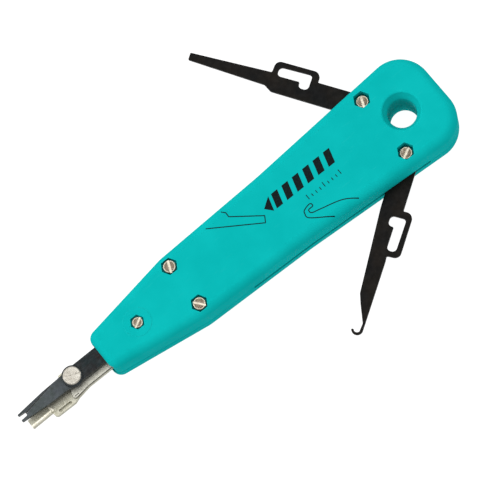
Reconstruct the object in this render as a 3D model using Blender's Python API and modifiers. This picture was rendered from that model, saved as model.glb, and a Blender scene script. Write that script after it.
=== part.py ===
"""Krone-pattern punch-down tool: a two-shell handle, a sprung punching head with a
scissor cutter, and two blades that fold into the handle's sides.

Dimensions are in millimetres; the helpers turn them into Blender's metres.
The origin is on the flat back, under the middle of the handle. +X runs to the
punching tip, +Y to the hook blade's side, +Z out of the front face.
"""

import math

import bmesh
import bpy
from mathutils import Vector

MM = 0.001
GAP = 0.3
PIN_PLAY = 0.15
ARC_STEP = math.radians(12)

# Handle
NOSE_X = 72.3
HEAD_X = -NOSE_X
THICKNESS = 17.0
WALL = 1.9
SKIN = 2.0
SPLIT_Z = 6.9
FRONT_LOW = SPLIT_Z + GAP / 2
REAR_HIGH = SPLIT_Z - GAP / 2
CEILING_Z = THICKNESS - SKIN
HEAD_HALF = 18.45
WAIST_X, WAIST_HALF = -5.8, 14.1
SHOULDER_X, SHOULDER_HALF = 37.1, 12.75
NOSE_HALF = 7.2
HEAD_CORNER = 11.3
NOSE_CORNER = 3.4
FRONT_EDGE = 3.2
REAR_EDGE = 3.4

# Hanging hole
HANG_X = -56.9
HANG_BORE = 5.0
HANG_BOWL = 6.5
HANG_BOWL_DEPTH = 3.3
HANG_TUBE = 7.2

# Screws and nuts
PIVOT_X, PIVOT_Y = -49.2, 11.7
BODY_SCREW_X, BODY_SCREW_Y = 36.0, 8.2
NOSE_SCREW_X = 55.9
SCREW_R = 1.25
SCREW_HEAD_R = 2.2
SCREW_HEAD_H = 1.6
NOSE_SCREW_R = 1.1
NOSE_HEAD_R = 1.9
NOSE_HEAD_H = 1.0
HEX_FLATS = 5.2
NUT_FLATS = 4.7
NUT_H = 2.0
NOSE_HEX_FLATS = 4.4
NOSE_NUT_FLATS = 3.9
PIVOT_SINK = 2.3
BODY_SINK = 0.3
NUT_SINK = 0.5
SCREW_END_Z = 0.8

# Folding blades
BLADE_LOW, BLADE_HIGH = 6.3, 7.5
BLADE_BASE = 3.9
BLADE_REACH = 63.2
RELEASE_ANGLE = -57.2
HOOK_ANGLE = 34.5
BLADE_BAY_X = (-54.6, 18.0)
BLADE_BAY_Y = 4.6
PIVOT_BOSS = 3.9
WASHER_HIGH = BLADE_LOW - GAP
WASHER_LOW = WASHER_HIGH - 0.5

# Sliding head
HEAD_HALF_WIDTH = 3.1
FRONT_PLATE = (11.9, 14.5)
CUTTER_PLATE = (8.5, 10.2)
LOCK_PLATE = (10.5, 11.5)
LOCK_SKIN = 0.3
REAR_PLATE = (6.5, 8.1)
CARRIAGE_X = 43.7
RIVET_X = 83.9
TIP_X = 106.2
FORK_DEPTH = 2.6
THIN_X, THIN_Z, THIN_RISE = 88.5, 12.4, 0.8
BOSS_R, BOSS_H = 3.7, 0.8
TRAVEL = 5.0
CUTTER_PIN_R = 1.5
SLOT_HALF = 1.4
BLOCK_X = (CARRIAGE_X, 53.9)
BLOCK_HALF_WIDTH = 3.4
CARRIAGE_RIVETS = {"carriage_rivet_inner": 47.8, "carriage_rivet_outer": 51.2}
CARRIAGE_RIVET_R = 0.9
RIVET_ROOM_HALF = 2.1
RAIL_Y = (3.4, 4.6)
RAIL_X = (40.0, 70.5)
NOSE_OPENING_Y = (-4.0, 6.35)
NOSE_OPENING_DEPTH = 6.9
LOCK_PIN_X, LOCK_PIN_Y = 75.2, 3.78
LOCK_PIN_R = 0.6
LEAF_Z = (8.7, 10.9)
LEAF_THICKNESS = 0.35
PIVOT_HEAD_R, PIVOT_HEAD_H = 3.1, 0.8
PIVOT_NUT_R, PIVOT_NUT_H = 2.9, 1.4
HUB_R = 2.1

# Main spring
SPRING_Z = 10.0
SPRING_R = 2.8
WIRE_R = 0.4
SPRING_TURNS = 9
ANCHOR_X = (18.2, 19.7)
ANCHOR_Z = (4.0, 14.2)
ANCHOR_HALF_WIDTH = 4.8
SPRING_X = (ANCHOR_X[1] + GAP + WIRE_R, BLOCK_X[0] - GAP - WIRE_R)
ROD_X = (13.7, 45.8)
ROD_R = 1.5

TEAL = (0.005, 0.49, 0.48)
BLACK = (0.012, 0.011, 0.010)
NICKEL = (0.56, 0.53, 0.45)
STEEL = (0.42, 0.41, 0.39)
BRASS_STEEL = (0.50, 0.46, 0.36)


def clear_scene():
    for obj in list(bpy.data.objects):
        bpy.data.objects.remove(obj, do_unlink=True)


def new_collection(name, is_cutters=False):
    made = bpy.data.collections.new(name)
    bpy.context.scene.collection.children.link(made)
    made.hide_render = is_cutters
    return made


def new_material(name, colour, roughness, metallic):
    material = bpy.data.materials.new(name)
    material.use_nodes = True
    shader = material.node_tree.nodes["Principled BSDF"]
    shader.inputs["Base Color"].default_value = (*colour, 1.0)
    shader.inputs["Roughness"].default_value = roughness
    shader.inputs["Metallic"].default_value = metallic
    return material


clear_scene()
PARTS = new_collection("punch_down_tool")
CUTTERS = new_collection("cutters", is_cutters=True)
MATERIALS = {
    "teal_plastic": new_material("teal_plastic", TEAL, 0.42, 0.0),
    "black_steel": new_material("black_steel", BLACK, 0.38, 0.6),
    "nickel": new_material("nickel", NICKEL, 0.3, 1.0),
    "steel": new_material("steel", STEEL, 0.35, 1.0),
    "plated_screw": new_material("plated_screw", BRASS_STEEL, 0.32, 1.0),
    "spring_steel": new_material("spring_steel", STEEL, 0.3, 1.0),
    "acetal": new_material("acetal", (0.02, 0.02, 0.022), 0.5, 0.0),
}


# Helpers


def place(name, mesh, role):
    """An object of this mesh: a part with the named material, or a cutter where role is None."""
    obj = bpy.data.objects.new(name, mesh)
    if role is None:
        CUTTERS.objects.link(obj)
        obj.hide_render = True
        obj.display_type = "WIRE"
    else:
        PARTS.objects.link(obj)
        mesh.materials.clear()
        mesh.materials.append(MATERIALS[role])
        mesh.shade_smooth()
        mesh.set_sharp_from_angle(angle=math.radians(35))
    return obj


def mesh_from_curve(name, curve, origin):
    """The closed mesh of a curve whose own origin lies at this point, its flat faces whole."""
    guide = bpy.data.objects.new(name + "_curve", curve)
    bpy.context.scene.collection.objects.link(guide)
    guide.location = Vector(origin) * MM
    graph = bpy.context.evaluated_depsgraph_get()
    graph.update()
    evaluated = guide.evaluated_get(graph)
    mesh = bpy.data.meshes.new_from_object(evaluated)
    mesh.transform(guide.matrix_world)
    bpy.data.objects.remove(guide, do_unlink=True)
    shape = bmesh.new()
    shape.from_mesh(mesh)
    bmesh.ops.remove_doubles(shape, verts=shape.verts, dist=1e-6)
    bmesh.ops.dissolve_limit(
        shape,
        angle_limit=math.radians(0.5),
        verts=shape.verts,
        edges=shape.edges,
        delimit={"NORMAL"},
    )
    bmesh.ops.recalc_face_normals(shape, faces=shape.faces)
    shape.to_mesh(mesh)
    shape.free()
    mesh.name = name
    return mesh


def plate(name, outlines, low, high, role=None):
    """A flat piece between two heights. The first outline is its edge, the others are holes."""
    curve = bpy.data.curves.new(name, "CURVE")
    curve.dimensions = "2D"
    curve.fill_mode = "BOTH"
    curve.extrude = (high - low) / 2 * MM
    for outline in outlines:
        spline = curve.splines.new("POLY")
        spline.points.add(len(outline) - 1)
        for point, (x, y) in zip(spline.points, outline):
            point.co = (x * MM, y * MM, 0.0, 1.0)
        spline.use_cyclic_u = True
    mesh = mesh_from_curve(name, curve, (0.0, 0.0, (low + high) / 2))
    return place(name, mesh, role)


def rounded(corners):
    """The outline through corners (x, y, radius), each turned by an arc tangent to its sides."""
    outline = []
    count = len(corners)
    for index, (x, y, radius) in enumerate(corners):
        here = Vector((x, y))
        if radius == 0:
            outline.append(here)
            continue
        to_last = (Vector(corners[index - 1][:2]) - here).normalized()
        to_next = (Vector(corners[(index + 1) % count][:2]) - here).normalized()
        half = to_last.angle(to_next) / 2
        centre = here + (to_last + to_next).normalized() * (radius / math.sin(half))
        start = here + to_last * (radius / math.tan(half)) - centre
        sweep = math.pi - 2 * half
        if to_last.x * to_next.y - to_last.y * to_next.x > 0:
            sweep = -sweep
        steps = max(2, math.ceil(abs(sweep) / ARC_STEP))
        for step in range(steps + 1):
            turn = sweep * step / steps
            cos, sin = math.cos(turn), math.sin(turn)
            offset = Vector((start.x * cos - start.y * sin, start.x * sin + start.y * cos))
            outline.append(centre + offset)
    return [(point.x, point.y) for point in outline]


def ring(x, y, radius, sides=24):
    turns = [math.tau * side / sides for side in range(sides)]
    return [(x + radius * math.cos(turn), y + radius * math.sin(turn)) for turn in turns]


def long_slot(x_from, x_to, y, half):
    """The outline of a slot along X, its round ends centred on x_from and x_to."""
    steps = 8
    right = [(x_to, -math.pi / 2 + math.pi * step / steps) for step in range(steps + 1)]
    left = [(x_from, math.pi / 2 + math.pi * step / steps) for step in range(steps + 1)]
    return [(x + half * math.cos(turn), y + half * math.sin(turn)) for x, turn in right + left]


def cylinder(name, x, y, radius, low, high, role=None, top_radius=None, sides=32):
    shape = bmesh.new()
    bmesh.ops.create_cone(
        shape,
        cap_ends=True,
        segments=sides,
        radius1=radius * MM,
        radius2=(radius if top_radius is None else top_radius) * MM,
        depth=(high - low) * MM,
    )
    middle = Vector((x, y, (low + high) / 2)) * MM
    bmesh.ops.translate(shape, vec=middle, verts=shape.verts)
    mesh = bpy.data.meshes.new(name)
    shape.to_mesh(mesh)
    shape.free()
    return place(name, mesh, role)


def hexagon(name, x, y, flats, low, high, role=None):
    """A hexagonal prism with two corners on the line along X."""
    return cylinder(name, x, y, flats / math.sqrt(3), low, high, role, sides=6)


def box(name, low, high, role=None):
    shape = bmesh.new()
    bmesh.ops.create_cube(shape, size=1.0)
    low, high = Vector(low) * MM, Vector(high) * MM
    bmesh.ops.scale(shape, vec=high - low, verts=shape.verts)
    bmesh.ops.translate(shape, vec=(low + high) / 2, verts=shape.verts)
    mesh = bpy.data.meshes.new(name)
    shape.to_mesh(mesh)
    shape.free()
    return place(name, mesh, role)


def combine(obj, operation, *others):
    for other in others:
        modifier = obj.modifiers.new(other.name, "BOOLEAN")
        modifier.operation = operation
        modifier.solver = "EXACT"
        modifier.object = other


def cut(obj, *cutters):
    combine(obj, "DIFFERENCE", *cutters)


def join(obj, *others):
    combine(obj, "UNION", *others)


def round_rim(obj, height, radius, segments):
    """Rounds the edges that lie at this height."""
    mesh = obj.data
    weights = mesh.attributes.new("bevel_weight_edge", "FLOAT", "EDGE")
    for edge in mesh.edges:
        ends = [mesh.vertices[index].co.z for index in edge.vertices]
        on_rim = all(abs(end - height * MM) < 1e-6 for end in ends)
        weights.data[edge.index].value = 1.0 if on_rim else 0.0
    bevel = obj.modifiers.new("rim", "BEVEL")
    bevel.limit_method = "WEIGHT"
    bevel.width = radius * MM
    bevel.segments = segments
    bevel.use_clamp_overlap = True


def pivot_empty(name, x, y, z):
    """An empty on a joint's axis, for the pieces that move with it."""
    empty = bpy.data.objects.new(name, None)
    PARTS.objects.link(empty)
    empty.location = Vector((x, y, z)) * MM
    return empty


def ride(empty, *pieces):
    """Parents pieces, already in their places, to the empty of the joint that moves them."""
    bpy.context.view_layer.update()
    for piece in pieces:
        piece.parent = empty
        piece.matrix_parent_inverse = empty.matrix_world.inverted()


# Handle


def handle_outline(inset=0.0):
    """The handle seen from the front, or a line this far inside it."""
    side = [
        (NOSE_X - inset, NOSE_HALF - inset, max(NOSE_CORNER - inset, 0.8)),
        (SHOULDER_X, SHOULDER_HALF - inset, 12.0),
        (WAIST_X, WAIST_HALF - inset, 0.0),
        (HEAD_X + inset, HEAD_HALF - inset, HEAD_CORNER - inset),
    ]
    mirrored = [(x, -y, radius) for x, y, radius in reversed(side)]
    return rounded(side + mirrored)


SCREW_SPOTS = {
    "release_pivot": (PIVOT_X, -PIVOT_Y, PIVOT_SINK),
    "hook_pivot": (PIVOT_X, PIVOT_Y, PIVOT_SINK),
    "body_left": (BODY_SCREW_X, -BODY_SCREW_Y, BODY_SINK),
    "body_right": (BODY_SCREW_X, BODY_SCREW_Y, BODY_SINK),
}


def blade_bays(low, high):
    """Cutters for the bays that the folding blades swing in, one on each side."""
    x_from, x_to = BLADE_BAY_X
    bays = []
    for side, name in ((-1, "release"), (1, "hook")):
        near, far = sorted((side * BLADE_BAY_Y, side * 25.0))
        bays.append(box(f"{name}_bay_{low:.0f}", (x_from, near, low), (x_to, far, high)))
    return bays


def screw_boss(name, radius, low, high):
    x, y, _ = SCREW_SPOTS[name]
    return cylinder(f"{name}_boss_{low:.0f}", x, y, radius, low, high)


def saddle(name, low, high):
    """The block that the spring anchor stands in."""
    return box(f"{name}_saddle", (ANCHOR_X[0] - 2.6, -6.0, low), (ANCHOR_X[1] + 2.5, 6.0, high))


def anchor_slot(name, low, high):
    """The cutter of the slot that holds the spring anchor's edge."""
    x_from, x_to = ANCHOR_X
    half = ANCHOR_HALF_WIDTH + GAP
    return box(f"{name}_anchor_slot", (x_from - GAP, -half, low), (x_to + GAP, half, high))


def screw_hole(name, x, y, radius, low, high):
    return cylinder(f"{name}_hole", x, y, radius + PIN_PLAY, low, high, sides=20)


def front_shell():
    shell = plate("front_shell", [handle_outline()], FRONT_LOW, THICKNESS, "teal_plastic")
    round_rim(shell, THICKNESS, FRONT_EDGE, 4)
    cut(shell, plate("front_hollow", [handle_outline(WALL)], FRONT_LOW - 1, CEILING_Z))
    blade_top = BLADE_HIGH + GAP
    join(
        shell,
        cylinder("front_hang_tube", HANG_X, 0, HANG_TUBE, FRONT_LOW, CEILING_Z + 1),
        screw_boss("release_pivot", PIVOT_BOSS, blade_top, CEILING_Z + 1),
        screw_boss("hook_pivot", PIVOT_BOSS, blade_top, CEILING_Z + 1),
        screw_boss("body_left", 3.0, FRONT_LOW, CEILING_Z + 1),
        screw_boss("body_right", 3.0, FRONT_LOW, CEILING_Z + 1),
        cylinder("front_nose_boss", NOSE_SCREW_X, 0, 2.8, FRONT_PLATE[1] + GAP, CEILING_Z + 1),
        saddle("front", 13.5, CEILING_Z + 1),
    )
    for side, name in ((-1, "left"), (1, "right")):
        near, far = sorted((side * RAIL_Y[0], side * RAIL_Y[1]))
        low = (RAIL_X[0], near, FRONT_PLATE[0] + 0.1)
        join(shell, box(f"front_rail_{name}", low, (RAIL_X[1], far, CEILING_Z + 1)))
    cut(shell, *blade_bays(FRONT_LOW - 1, blade_top))
    nose_top = FRONT_PLATE[1] + GAP
    nose_low = (NOSE_X - NOSE_OPENING_DEPTH, NOSE_OPENING_Y[0], FRONT_LOW - 1)
    cut(shell, box("front_nose_opening", nose_low, (NOSE_X + 1, NOSE_OPENING_Y[1], nose_top)))
    room_low = (BLOCK_X[0] - TRAVEL, -RIVET_ROOM_HALF, CEILING_Z - 1)
    room_high = (BLOCK_X[1] - 1, RIVET_ROOM_HALF, CEILING_Z + 0.8)
    cut(shell, box("front_rivet_room", room_low, room_high))
    cut(shell, anchor_slot("front", 11.0, ANCHOR_Z[1] + GAP))
    bowl_floor = THICKNESS - HANG_BOWL_DEPTH
    slope = (HANG_BOWL - HANG_BORE) / HANG_BOWL_DEPTH
    bowl_top = HANG_BOWL + slope
    cut(
        shell,
        cylinder("front_bore", HANG_X, 0, HANG_BORE, FRONT_LOW - 1, THICKNESS + 1, sides=40),
        cylinder(
            "front_bowl", HANG_X, 0, HANG_BORE, bowl_floor, THICKNESS + 1,
            top_radius=bowl_top, sides=40,
        ),
    )
    for name, (x, y, sink) in SCREW_SPOTS.items():
        floor = THICKNESS - sink - SCREW_HEAD_H - GAP
        cut(
            shell,
            hexagon(f"{name}_pocket", x, y, HEX_FLATS, floor, THICKNESS + 1),
            screw_hole(name, x, y, SCREW_R, FRONT_LOW - 1, floor + 1),
        )
    floor = THICKNESS - BODY_SINK - NOSE_HEAD_H - GAP
    cut(
        shell,
        hexagon("nose_pocket", NOSE_SCREW_X, 0, NOSE_HEX_FLATS, floor, THICKNESS + 1),
        screw_hole("nose", NOSE_SCREW_X, 0, NOSE_SCREW_R, FRONT_LOW, floor + 1),
    )
    return shell


def rear_shell():
    shell = plate("rear_shell", [handle_outline()], 0.0, REAR_HIGH, "teal_plastic")
    round_rim(shell, 0.0, REAR_EDGE, 4)
    cut(shell, plate("rear_hollow", [handle_outline(WALL)], SKIN, REAR_HIGH + 1))
    boss_top = WASHER_LOW - GAP
    join(
        shell,
        cylinder("rear_hang_tube", HANG_X, 0, HANG_TUBE, SKIN - 1, REAR_HIGH),
        screw_boss("release_pivot", PIVOT_BOSS, SKIN - 1, boss_top),
        screw_boss("hook_pivot", PIVOT_BOSS, SKIN - 1, boss_top),
        screw_boss("body_left", 3.6, SKIN - 1, REAR_HIGH),
        screw_boss("body_right", 3.6, SKIN - 1, REAR_HIGH),
        cylinder("rear_nose_boss", NOSE_SCREW_X, 0, 3.0, SKIN - 1, REAR_PLATE[0] - GAP),
        saddle("rear", SKIN - 1, 5.2),
    )
    for side, name in ((-1, "left"), (1, "right")):
        near, far = sorted((side * RAIL_Y[0], side * RAIL_Y[1]))
        low = (RAIL_X[0], near, SKIN - 1)
        join(shell, box(f"rear_rail_{name}", low, (RAIL_X[1], far, REAR_HIGH)))
    cut(shell, *blade_bays(BLADE_LOW - GAP, REAR_HIGH + 1))
    nose_low = (NOSE_X - NOSE_OPENING_DEPTH, NOSE_OPENING_Y[0], REAR_PLATE[0] - GAP)
    cut(shell, box("rear_nose_opening", nose_low, (NOSE_X + 1, NOSE_OPENING_Y[1], REAR_HIGH + 1)))
    cut(shell, anchor_slot("rear", ANCHOR_Z[0] - GAP, REAR_HIGH + 1))
    cut(shell, cylinder("rear_bore", HANG_X, 0, HANG_BORE, -1, REAR_HIGH + 1, sides=40))
    pocket_top = NUT_SINK + NUT_H + GAP
    for name, (x, y, _) in SCREW_SPOTS.items():
        cut(
            shell,
            hexagon(f"{name}_nut_pocket", x, y, HEX_FLATS, -1, pocket_top),
            screw_hole(f"{name}_rear", x, y, SCREW_R, pocket_top - 1, REAR_HIGH + 1),
        )
    cut(
        shell,
        hexagon("nose_nut_pocket", NOSE_SCREW_X, 0, NOSE_HEX_FLATS, -1, pocket_top),
        screw_hole("nose_rear", NOSE_SCREW_X, 0, NOSE_SCREW_R, pocket_top - 1, REAR_HIGH + 1),
    )
    return shell


# Fasteners


def slotted_screw(name, x, y, radius, head_radius, head_height, sink, slot_turn):
    """A cheese-head screw. Its head's top lies this deep under the front face."""
    top = THICKNESS - sink
    screw = cylinder(name, x, y, head_radius, top - head_height, top, "plated_screw")
    shank = cylinder(name + "_shank", x, y, radius, SCREW_END_Z, top - head_height + 0.5, sides=20)
    slot = box(name + "_slot", (-head_radius - 1, -0.3, top - 0.7), (head_radius + 1, 0.3, top + 1))
    slot.location = Vector((x, y, 0)) * MM
    slot.rotation_euler.z = math.radians(slot_turn)
    join(screw, shank)
    cut(screw, slot)
    return screw


def hex_nut(name, x, y, flats, bore):
    nut = hexagon(name, x, y, flats, NUT_SINK, NUT_SINK + NUT_H, "plated_screw")
    cut(nut, cylinder(name + "_bore", x, y, bore + PIN_PLAY, 0, NUT_SINK + NUT_H + 1, sides=20))
    return nut


def fasteners():
    turns = {"release_pivot": 68, "hook_pivot": 28, "body_left": 68, "body_right": -52}
    names = {
        "release_pivot": ("release_blade_screw", "release_blade_nut"),
        "hook_pivot": ("hook_blade_screw", "hook_blade_nut"),
        "body_left": ("body_screw_left", "body_nut_left"),
        "body_right": ("body_screw_right", "body_nut_right"),
    }
    for spot, (x, y, sink) in SCREW_SPOTS.items():
        screw_name, nut_name = names[spot]
        slotted_screw(screw_name, x, y, SCREW_R, SCREW_HEAD_R, SCREW_HEAD_H, sink, turns[spot])
        hex_nut(nut_name, x, y, NUT_FLATS, SCREW_R)
    slotted_screw(
        "nose_screw", NOSE_SCREW_X, 0, NOSE_SCREW_R, NOSE_HEAD_R, NOSE_HEAD_H, BODY_SINK, 28
    )
    hex_nut("nose_nut", NOSE_SCREW_X, 0, NOSE_NUT_FLATS, NOSE_SCREW_R)
    for side, name in ((-1, "release_blade_washer"), (1, "hook_blade_washer")):
        y = side * PIVOT_Y
        outlines = [ring(PIVOT_X, y, 3.3), ring(PIVOT_X, y, SCREW_R + PIN_PLAY, 20)]
        plate(name, outlines, WASHER_LOW, WASHER_HIGH, "spring_steel")


# Folding blades. Along a blade, u runs from the pivot to the tip, v to its outer side.

LOOP_OUTLINE = [
    (34.1, 2.8, 0.0),
    (33.9, 7.2, 2.2),
    (17.9, 7.4, 2.2),
    (17.9, 3.8, 0.4),
]
FINGER_SLOT = [
    (32.2, 2.05, 1.5),
    (32.2, 5.35, 1.5),
    (20.3, 5.7, 1.2),
    (20.3, 0.1, 1.5),
    (23.9, 0.1, 1.5),
    (24.0, 2.2, 0.3),
]
BASE_OUTLINE = [(0.0, BLADE_BASE, 0.0)]


def base_arc():
    """The round end about the pivot, from the inner side to the outer side."""
    steps = 10
    turns = [-math.pi / 2 - math.pi * step / steps for step in range(1, steps)]
    return [(BLADE_BASE * math.cos(turn), BLADE_BASE * math.sin(turn), 0.0) for turn in turns]


def release_edge():
    """Square-ended blade: a narrow tongue that steps out to the full width."""
    return [
        (0.0, -BLADE_BASE, 0.0),
        *base_arc(),
        *BASE_OUTLINE,
        *reversed(LOOP_OUTLINE),
        (BLADE_REACH, 1.3, 0.3),
        (BLADE_REACH, -1.3, 0.3),
        (35.2, -2.15, 1.0),
        (32.4, -3.8, 1.0),
    ]


def turned(centre, radius, degrees):
    """The point at this radius and angle from a centre."""
    turn = math.radians(degrees)
    return centre + Vector((math.cos(turn), math.sin(turn))) * radius


def hook_edge():
    """Tapering blade that ends in a hook curled towards its inner side."""
    centre = Vector((60.6, 0.5))
    outer, inner, end_round = 2.0, 1.15, 0.3
    hook = []
    for degrees in range(90, -66, -22):
        hook.append((*turned(centre, outer, degrees), 0.0))
    hook.append((*turned(centre, outer, -78), end_round))
    hook.append((*turned(centre, inner, -78), end_round))
    for degrees in range(-50, 66, 23):
        hook.append((*turned(centre, inner, degrees), 0.0))
    return [
        (0.0, -BLADE_BASE, 0.0),
        *base_arc(),
        *BASE_OUTLINE,
        *reversed(LOOP_OUTLINE),
        (36.0, 2.95, 0.6),
        *hook,
        (58.3, 1.75, 0.4),
        (52.3, -0.8, 2.0),
        (48.7, -2.1, 2.0),
        (18.7, -3.9, 4.0),
    ]


def swung(points, x, y, degrees, side):
    """Blade outline points turned to their place. side is -1 where the outer side is -Y."""
    turn = math.radians(degrees)
    cos, sin = math.cos(turn), math.sin(turn)
    placed = []
    for u, v in points:
        v *= side
        placed.append((x + u * cos - v * sin, y + u * sin + v * cos))
    return placed


def folding_blade(name, edge, degrees, side):
    y = side * PIVOT_Y
    outlines = [rounded(edge), rounded(FINGER_SLOT), ring(0, 0, SCREW_R + PIN_PLAY, 24)]
    placed = [swung(outline, PIVOT_X, y, degrees, side) for outline in outlines]
    blade = plate(name, placed, BLADE_LOW, BLADE_HIGH, "black_steel")
    ride(pivot_empty(f"{name}_pivot", PIVOT_X, y, BLADE_LOW), blade)
    return blade


# Sliding head


def insertion_blade():
    """The front plate: a shank with the travel slot, the pivot boss, and the fork."""
    low, high = FRONT_PLATE
    side = [
        (CARRIAGE_X, HEAD_HALF_WIDTH, 0.8),
        (RIVET_X, HEAD_HALF_WIDTH, 0.0),
        (RIVET_X + 5.0, 2.6, 8.0),
        (RIVET_X + 11.0, 2.45, 8.0),
        (TIP_X, 1.55, 0.25),
        (TIP_X, 0.8, 0.25),
        (TIP_X - FORK_DEPTH, 0.67, 0.4),
    ]
    edge = rounded(side + [(x, -y, radius) for x, y, radius in reversed(side)])
    travel_slot = long_slot(NOSE_SCREW_X, NOSE_SCREW_X + TRAVEL, 0, SLOT_HALF)
    rivets = [ring(x, 0, CARRIAGE_RIVET_R + PIN_PLAY, 16) for x in CARRIAGE_RIVETS.values()]
    blade = plate("insertion_blade", [edge, travel_slot, *rivets], low, high, "black_steel")
    join(blade, cylinder("pivot_boss", RIVET_X, 0, BOSS_R, high - 1, high + BOSS_H, sides=40))
    length = TIP_X - THIN_X
    relief = box("thin_relief", (0.0, -5.0, -4.0), (length + 2, 5.0, 0.0))
    relief.location = Vector((THIN_X, 0.0, THIN_Z)) * MM
    relief.rotation_euler.y = -math.atan(THIN_RISE / length)
    cut(blade, relief)
    cut(blade, pin_bore("pivot_bore", low, high))
    return blade


def rear_cheek():
    low, high = REAR_PLATE
    end = RIVET_X + 3.9
    edge = rounded([
        (CARRIAGE_X, -HEAD_HALF_WIDTH, 0.8),
        (end, -HEAD_HALF_WIDTH, 3.0),
        (end, HEAD_HALF_WIDTH, 3.0),
        (CARRIAGE_X, HEAD_HALF_WIDTH, 0.8),
    ])
    travel_slot = long_slot(NOSE_SCREW_X, NOSE_SCREW_X + TRAVEL, 0, SLOT_HALF)
    rivets = [ring(x, 0, CARRIAGE_RIVET_R + PIN_PLAY, 16) for x in CARRIAGE_RIVETS.values()]
    pivot = ring(RIVET_X, 0, CUTTER_PIN_R + PIN_PLAY, 24)
    return plate("rear_cheek", [edge, travel_slot, pivot, *rivets], low, high, "black_steel")


def carriage_block():
    """The spacer between the plates. Its inner end carries the spring and its rod."""
    x_from, x_to = BLOCK_X
    low, high = REAR_PLATE[1] + GAP, FRONT_PLATE[0] - GAP
    half = BLOCK_HALF_WIDTH
    edge = rounded([(x_from, -half, 0.6), (x_to, -half, 0.6), (x_to, half, 0.6), (x_from, half, 0.6)])
    rivets = [ring(x, 0, CARRIAGE_RIVET_R + PIN_PLAY, 16) for x in CARRIAGE_RIVETS.values()]
    block = plate("carriage_block", [edge, *rivets], low, high, "acetal")
    socket = cylinder("rod_socket", 0, 0, ROD_R - 0.35 + PIN_PLAY, x_from - 1, ROD_X[1] + GAP, sides=20)
    lay_along_x(socket)
    cut(block, socket)
    return block


def lay_along_x(obj):
    """Turns a piece made along Z at the origin to lie on the spring's axis, Z becoming X."""
    obj.rotation_euler.y = math.pi / 2
    obj.location.z = SPRING_Z * MM


def rivet(name, x, radius, head_radius, low, high):
    """A rivet with a head past each of the two heights."""
    pin = cylinder(name, x, 0, radius, low - 0.5, high + 0.5, "steel", sides=20)
    face, head = head_radius - 0.4, 0.7
    join(
        pin,
        cylinder(name + "_low", x, 0, face, low - head, low, top_radius=head_radius, sides=20),
        cylinder(name + "_high", x, 0, head_radius, high, high + head, top_radius=face, sides=20),
    )
    return pin


def pin_bore(name, low, high):
    """The cutter of the pivot pin's hole through a piece between two heights."""
    return cylinder(name, RIVET_X, 0, CUTTER_PIN_R + PIN_PLAY, low - 1, high + 2, sides=24)


def cutter_blade():
    """The scissor lever: cam tail on the nose screw, hub, slotted tab, and lipped blade."""
    low, high = CUTTER_PLATE
    edge = rounded([
        (54.9, 2.0, 0.4),
        (56.5, 1.35, 0.0),
        (61.6, -0.85, 1.0),
        (79.2, -1.05, 1.5),
        (81.0, -3.0, 1.2),
        (85.8, -3.0, 0.3),
        (86.0, -4.5, 0.3),
        (87.8, -4.5, 0.4),
        (88.4, -2.6, 0.5),
        (89.8, 0.0, 1.2),
        (104.9, 1.0, 0.2),
        (104.9, 4.45, 0.2),
        (96.7, 4.35, 0.3),
        (96.5, 6.5, 1.2),
        (88.6, 6.6, 1.0),
        (86.6, 5.9, 1.5),
        (81.6, 5.08, 4.0),
        (NOSE_X, 5.1, 2.0),
        (68.5, 4.55, 2.0),
        (54.9, 4.3, 1.0),
    ])
    pin_hole = ring(LOCK_PIN_X, LOCK_PIN_Y, LOCK_PIN_R + PIN_PLAY, 12)
    blade = plate("cutter_blade", [edge, pin_hole], low, high, "nickel")
    join(
        blade,
        box("cutter_lip", (96.9, 3.55, high - 0.5), (104.8, 4.3, LOCK_PLATE[1])),
        cylinder("cutter_hub", RIVET_X, 0, HUB_R, high - 0.5, FRONT_PLATE[0] - GAP),
    )
    grip_slot = plate("grip_slot", [long_slot(90.0, 93.9, 5.43, 0.45)], low + 0.5, high + 1)
    cut(blade, pin_bore("cutter_bore", low, high), grip_slot)
    return blade


def cutter_lock():
    """A strip that slides along the cutter, its guide slot milled from underneath."""
    low, high = LOCK_PLATE
    edge = rounded([
        (70.4, 2.4, 0.4),
        (87.5, 2.4, 1.5),
        (87.9, 5.85, 1.2),
        (81.6, 4.98, 4.0),
        (70.4, 5.0, 0.4),
    ])
    strip = plate("cutter_lock", [edge], low, high, "nickel")
    guide = long_slot(LOCK_PIN_X - 3.0, LOCK_PIN_X, LOCK_PIN_Y, 0.75)
    cut(strip, plate("lock_guide", [guide], low - 1, high - LOCK_SKIN))
    cut(strip, box("lock_mark", (85.4, 4.88, high - 0.5), (87.1, 5.18, high + 1)))
    return strip


def cutter_return_spring():
    """A leaf that bears on the outer edge of the cutter's tail."""
    inner = [(46.0, 3.75), (50.6, 3.75), (53.4, 4.75), (66.0, 4.9)]
    outer = [(x, y + LEAF_THICKNESS) for x, y in reversed(inner)]
    low, high = LEAF_Z
    return plate("cutter_return_spring", [inner + outer], low, high, "spring_steel")


def cutter_pivot():
    top = FRONT_PLATE[1] + BOSS_H + 0.1
    high = top + PIVOT_HEAD_H
    screw = cylinder("cutter_pivot_screw", RIVET_X, 0, PIVOT_HEAD_R, top, high, "nickel", sides=40)
    round_rim(screw, high, 0.3, 2)
    end = REAR_PLATE[0] - PIVOT_NUT_H - 0.2
    join(screw, cylinder("cutter_pivot_shank", RIVET_X, 0, CUTTER_PIN_R, end, top + 0.4, sides=24))
    slot = box("cutter_pivot_slot", (-4, -0.4, top + 0.5), (4, 0.4, top + 2))
    slot.location = Vector((RIVET_X, 0, 0)) * MM
    slot.rotation_euler.z = math.radians(-22)
    cut(screw, slot)
    nut_high = REAR_PLATE[0] - GAP
    nut_low = nut_high - PIVOT_NUT_H
    nut = cylinder("cutter_pivot_nut", RIVET_X, 0, PIVOT_NUT_R, nut_low, nut_high, "nickel")
    cut(nut, pin_bore("cutter_nut_bore", nut_low, nut_high))
    return screw, nut


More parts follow.
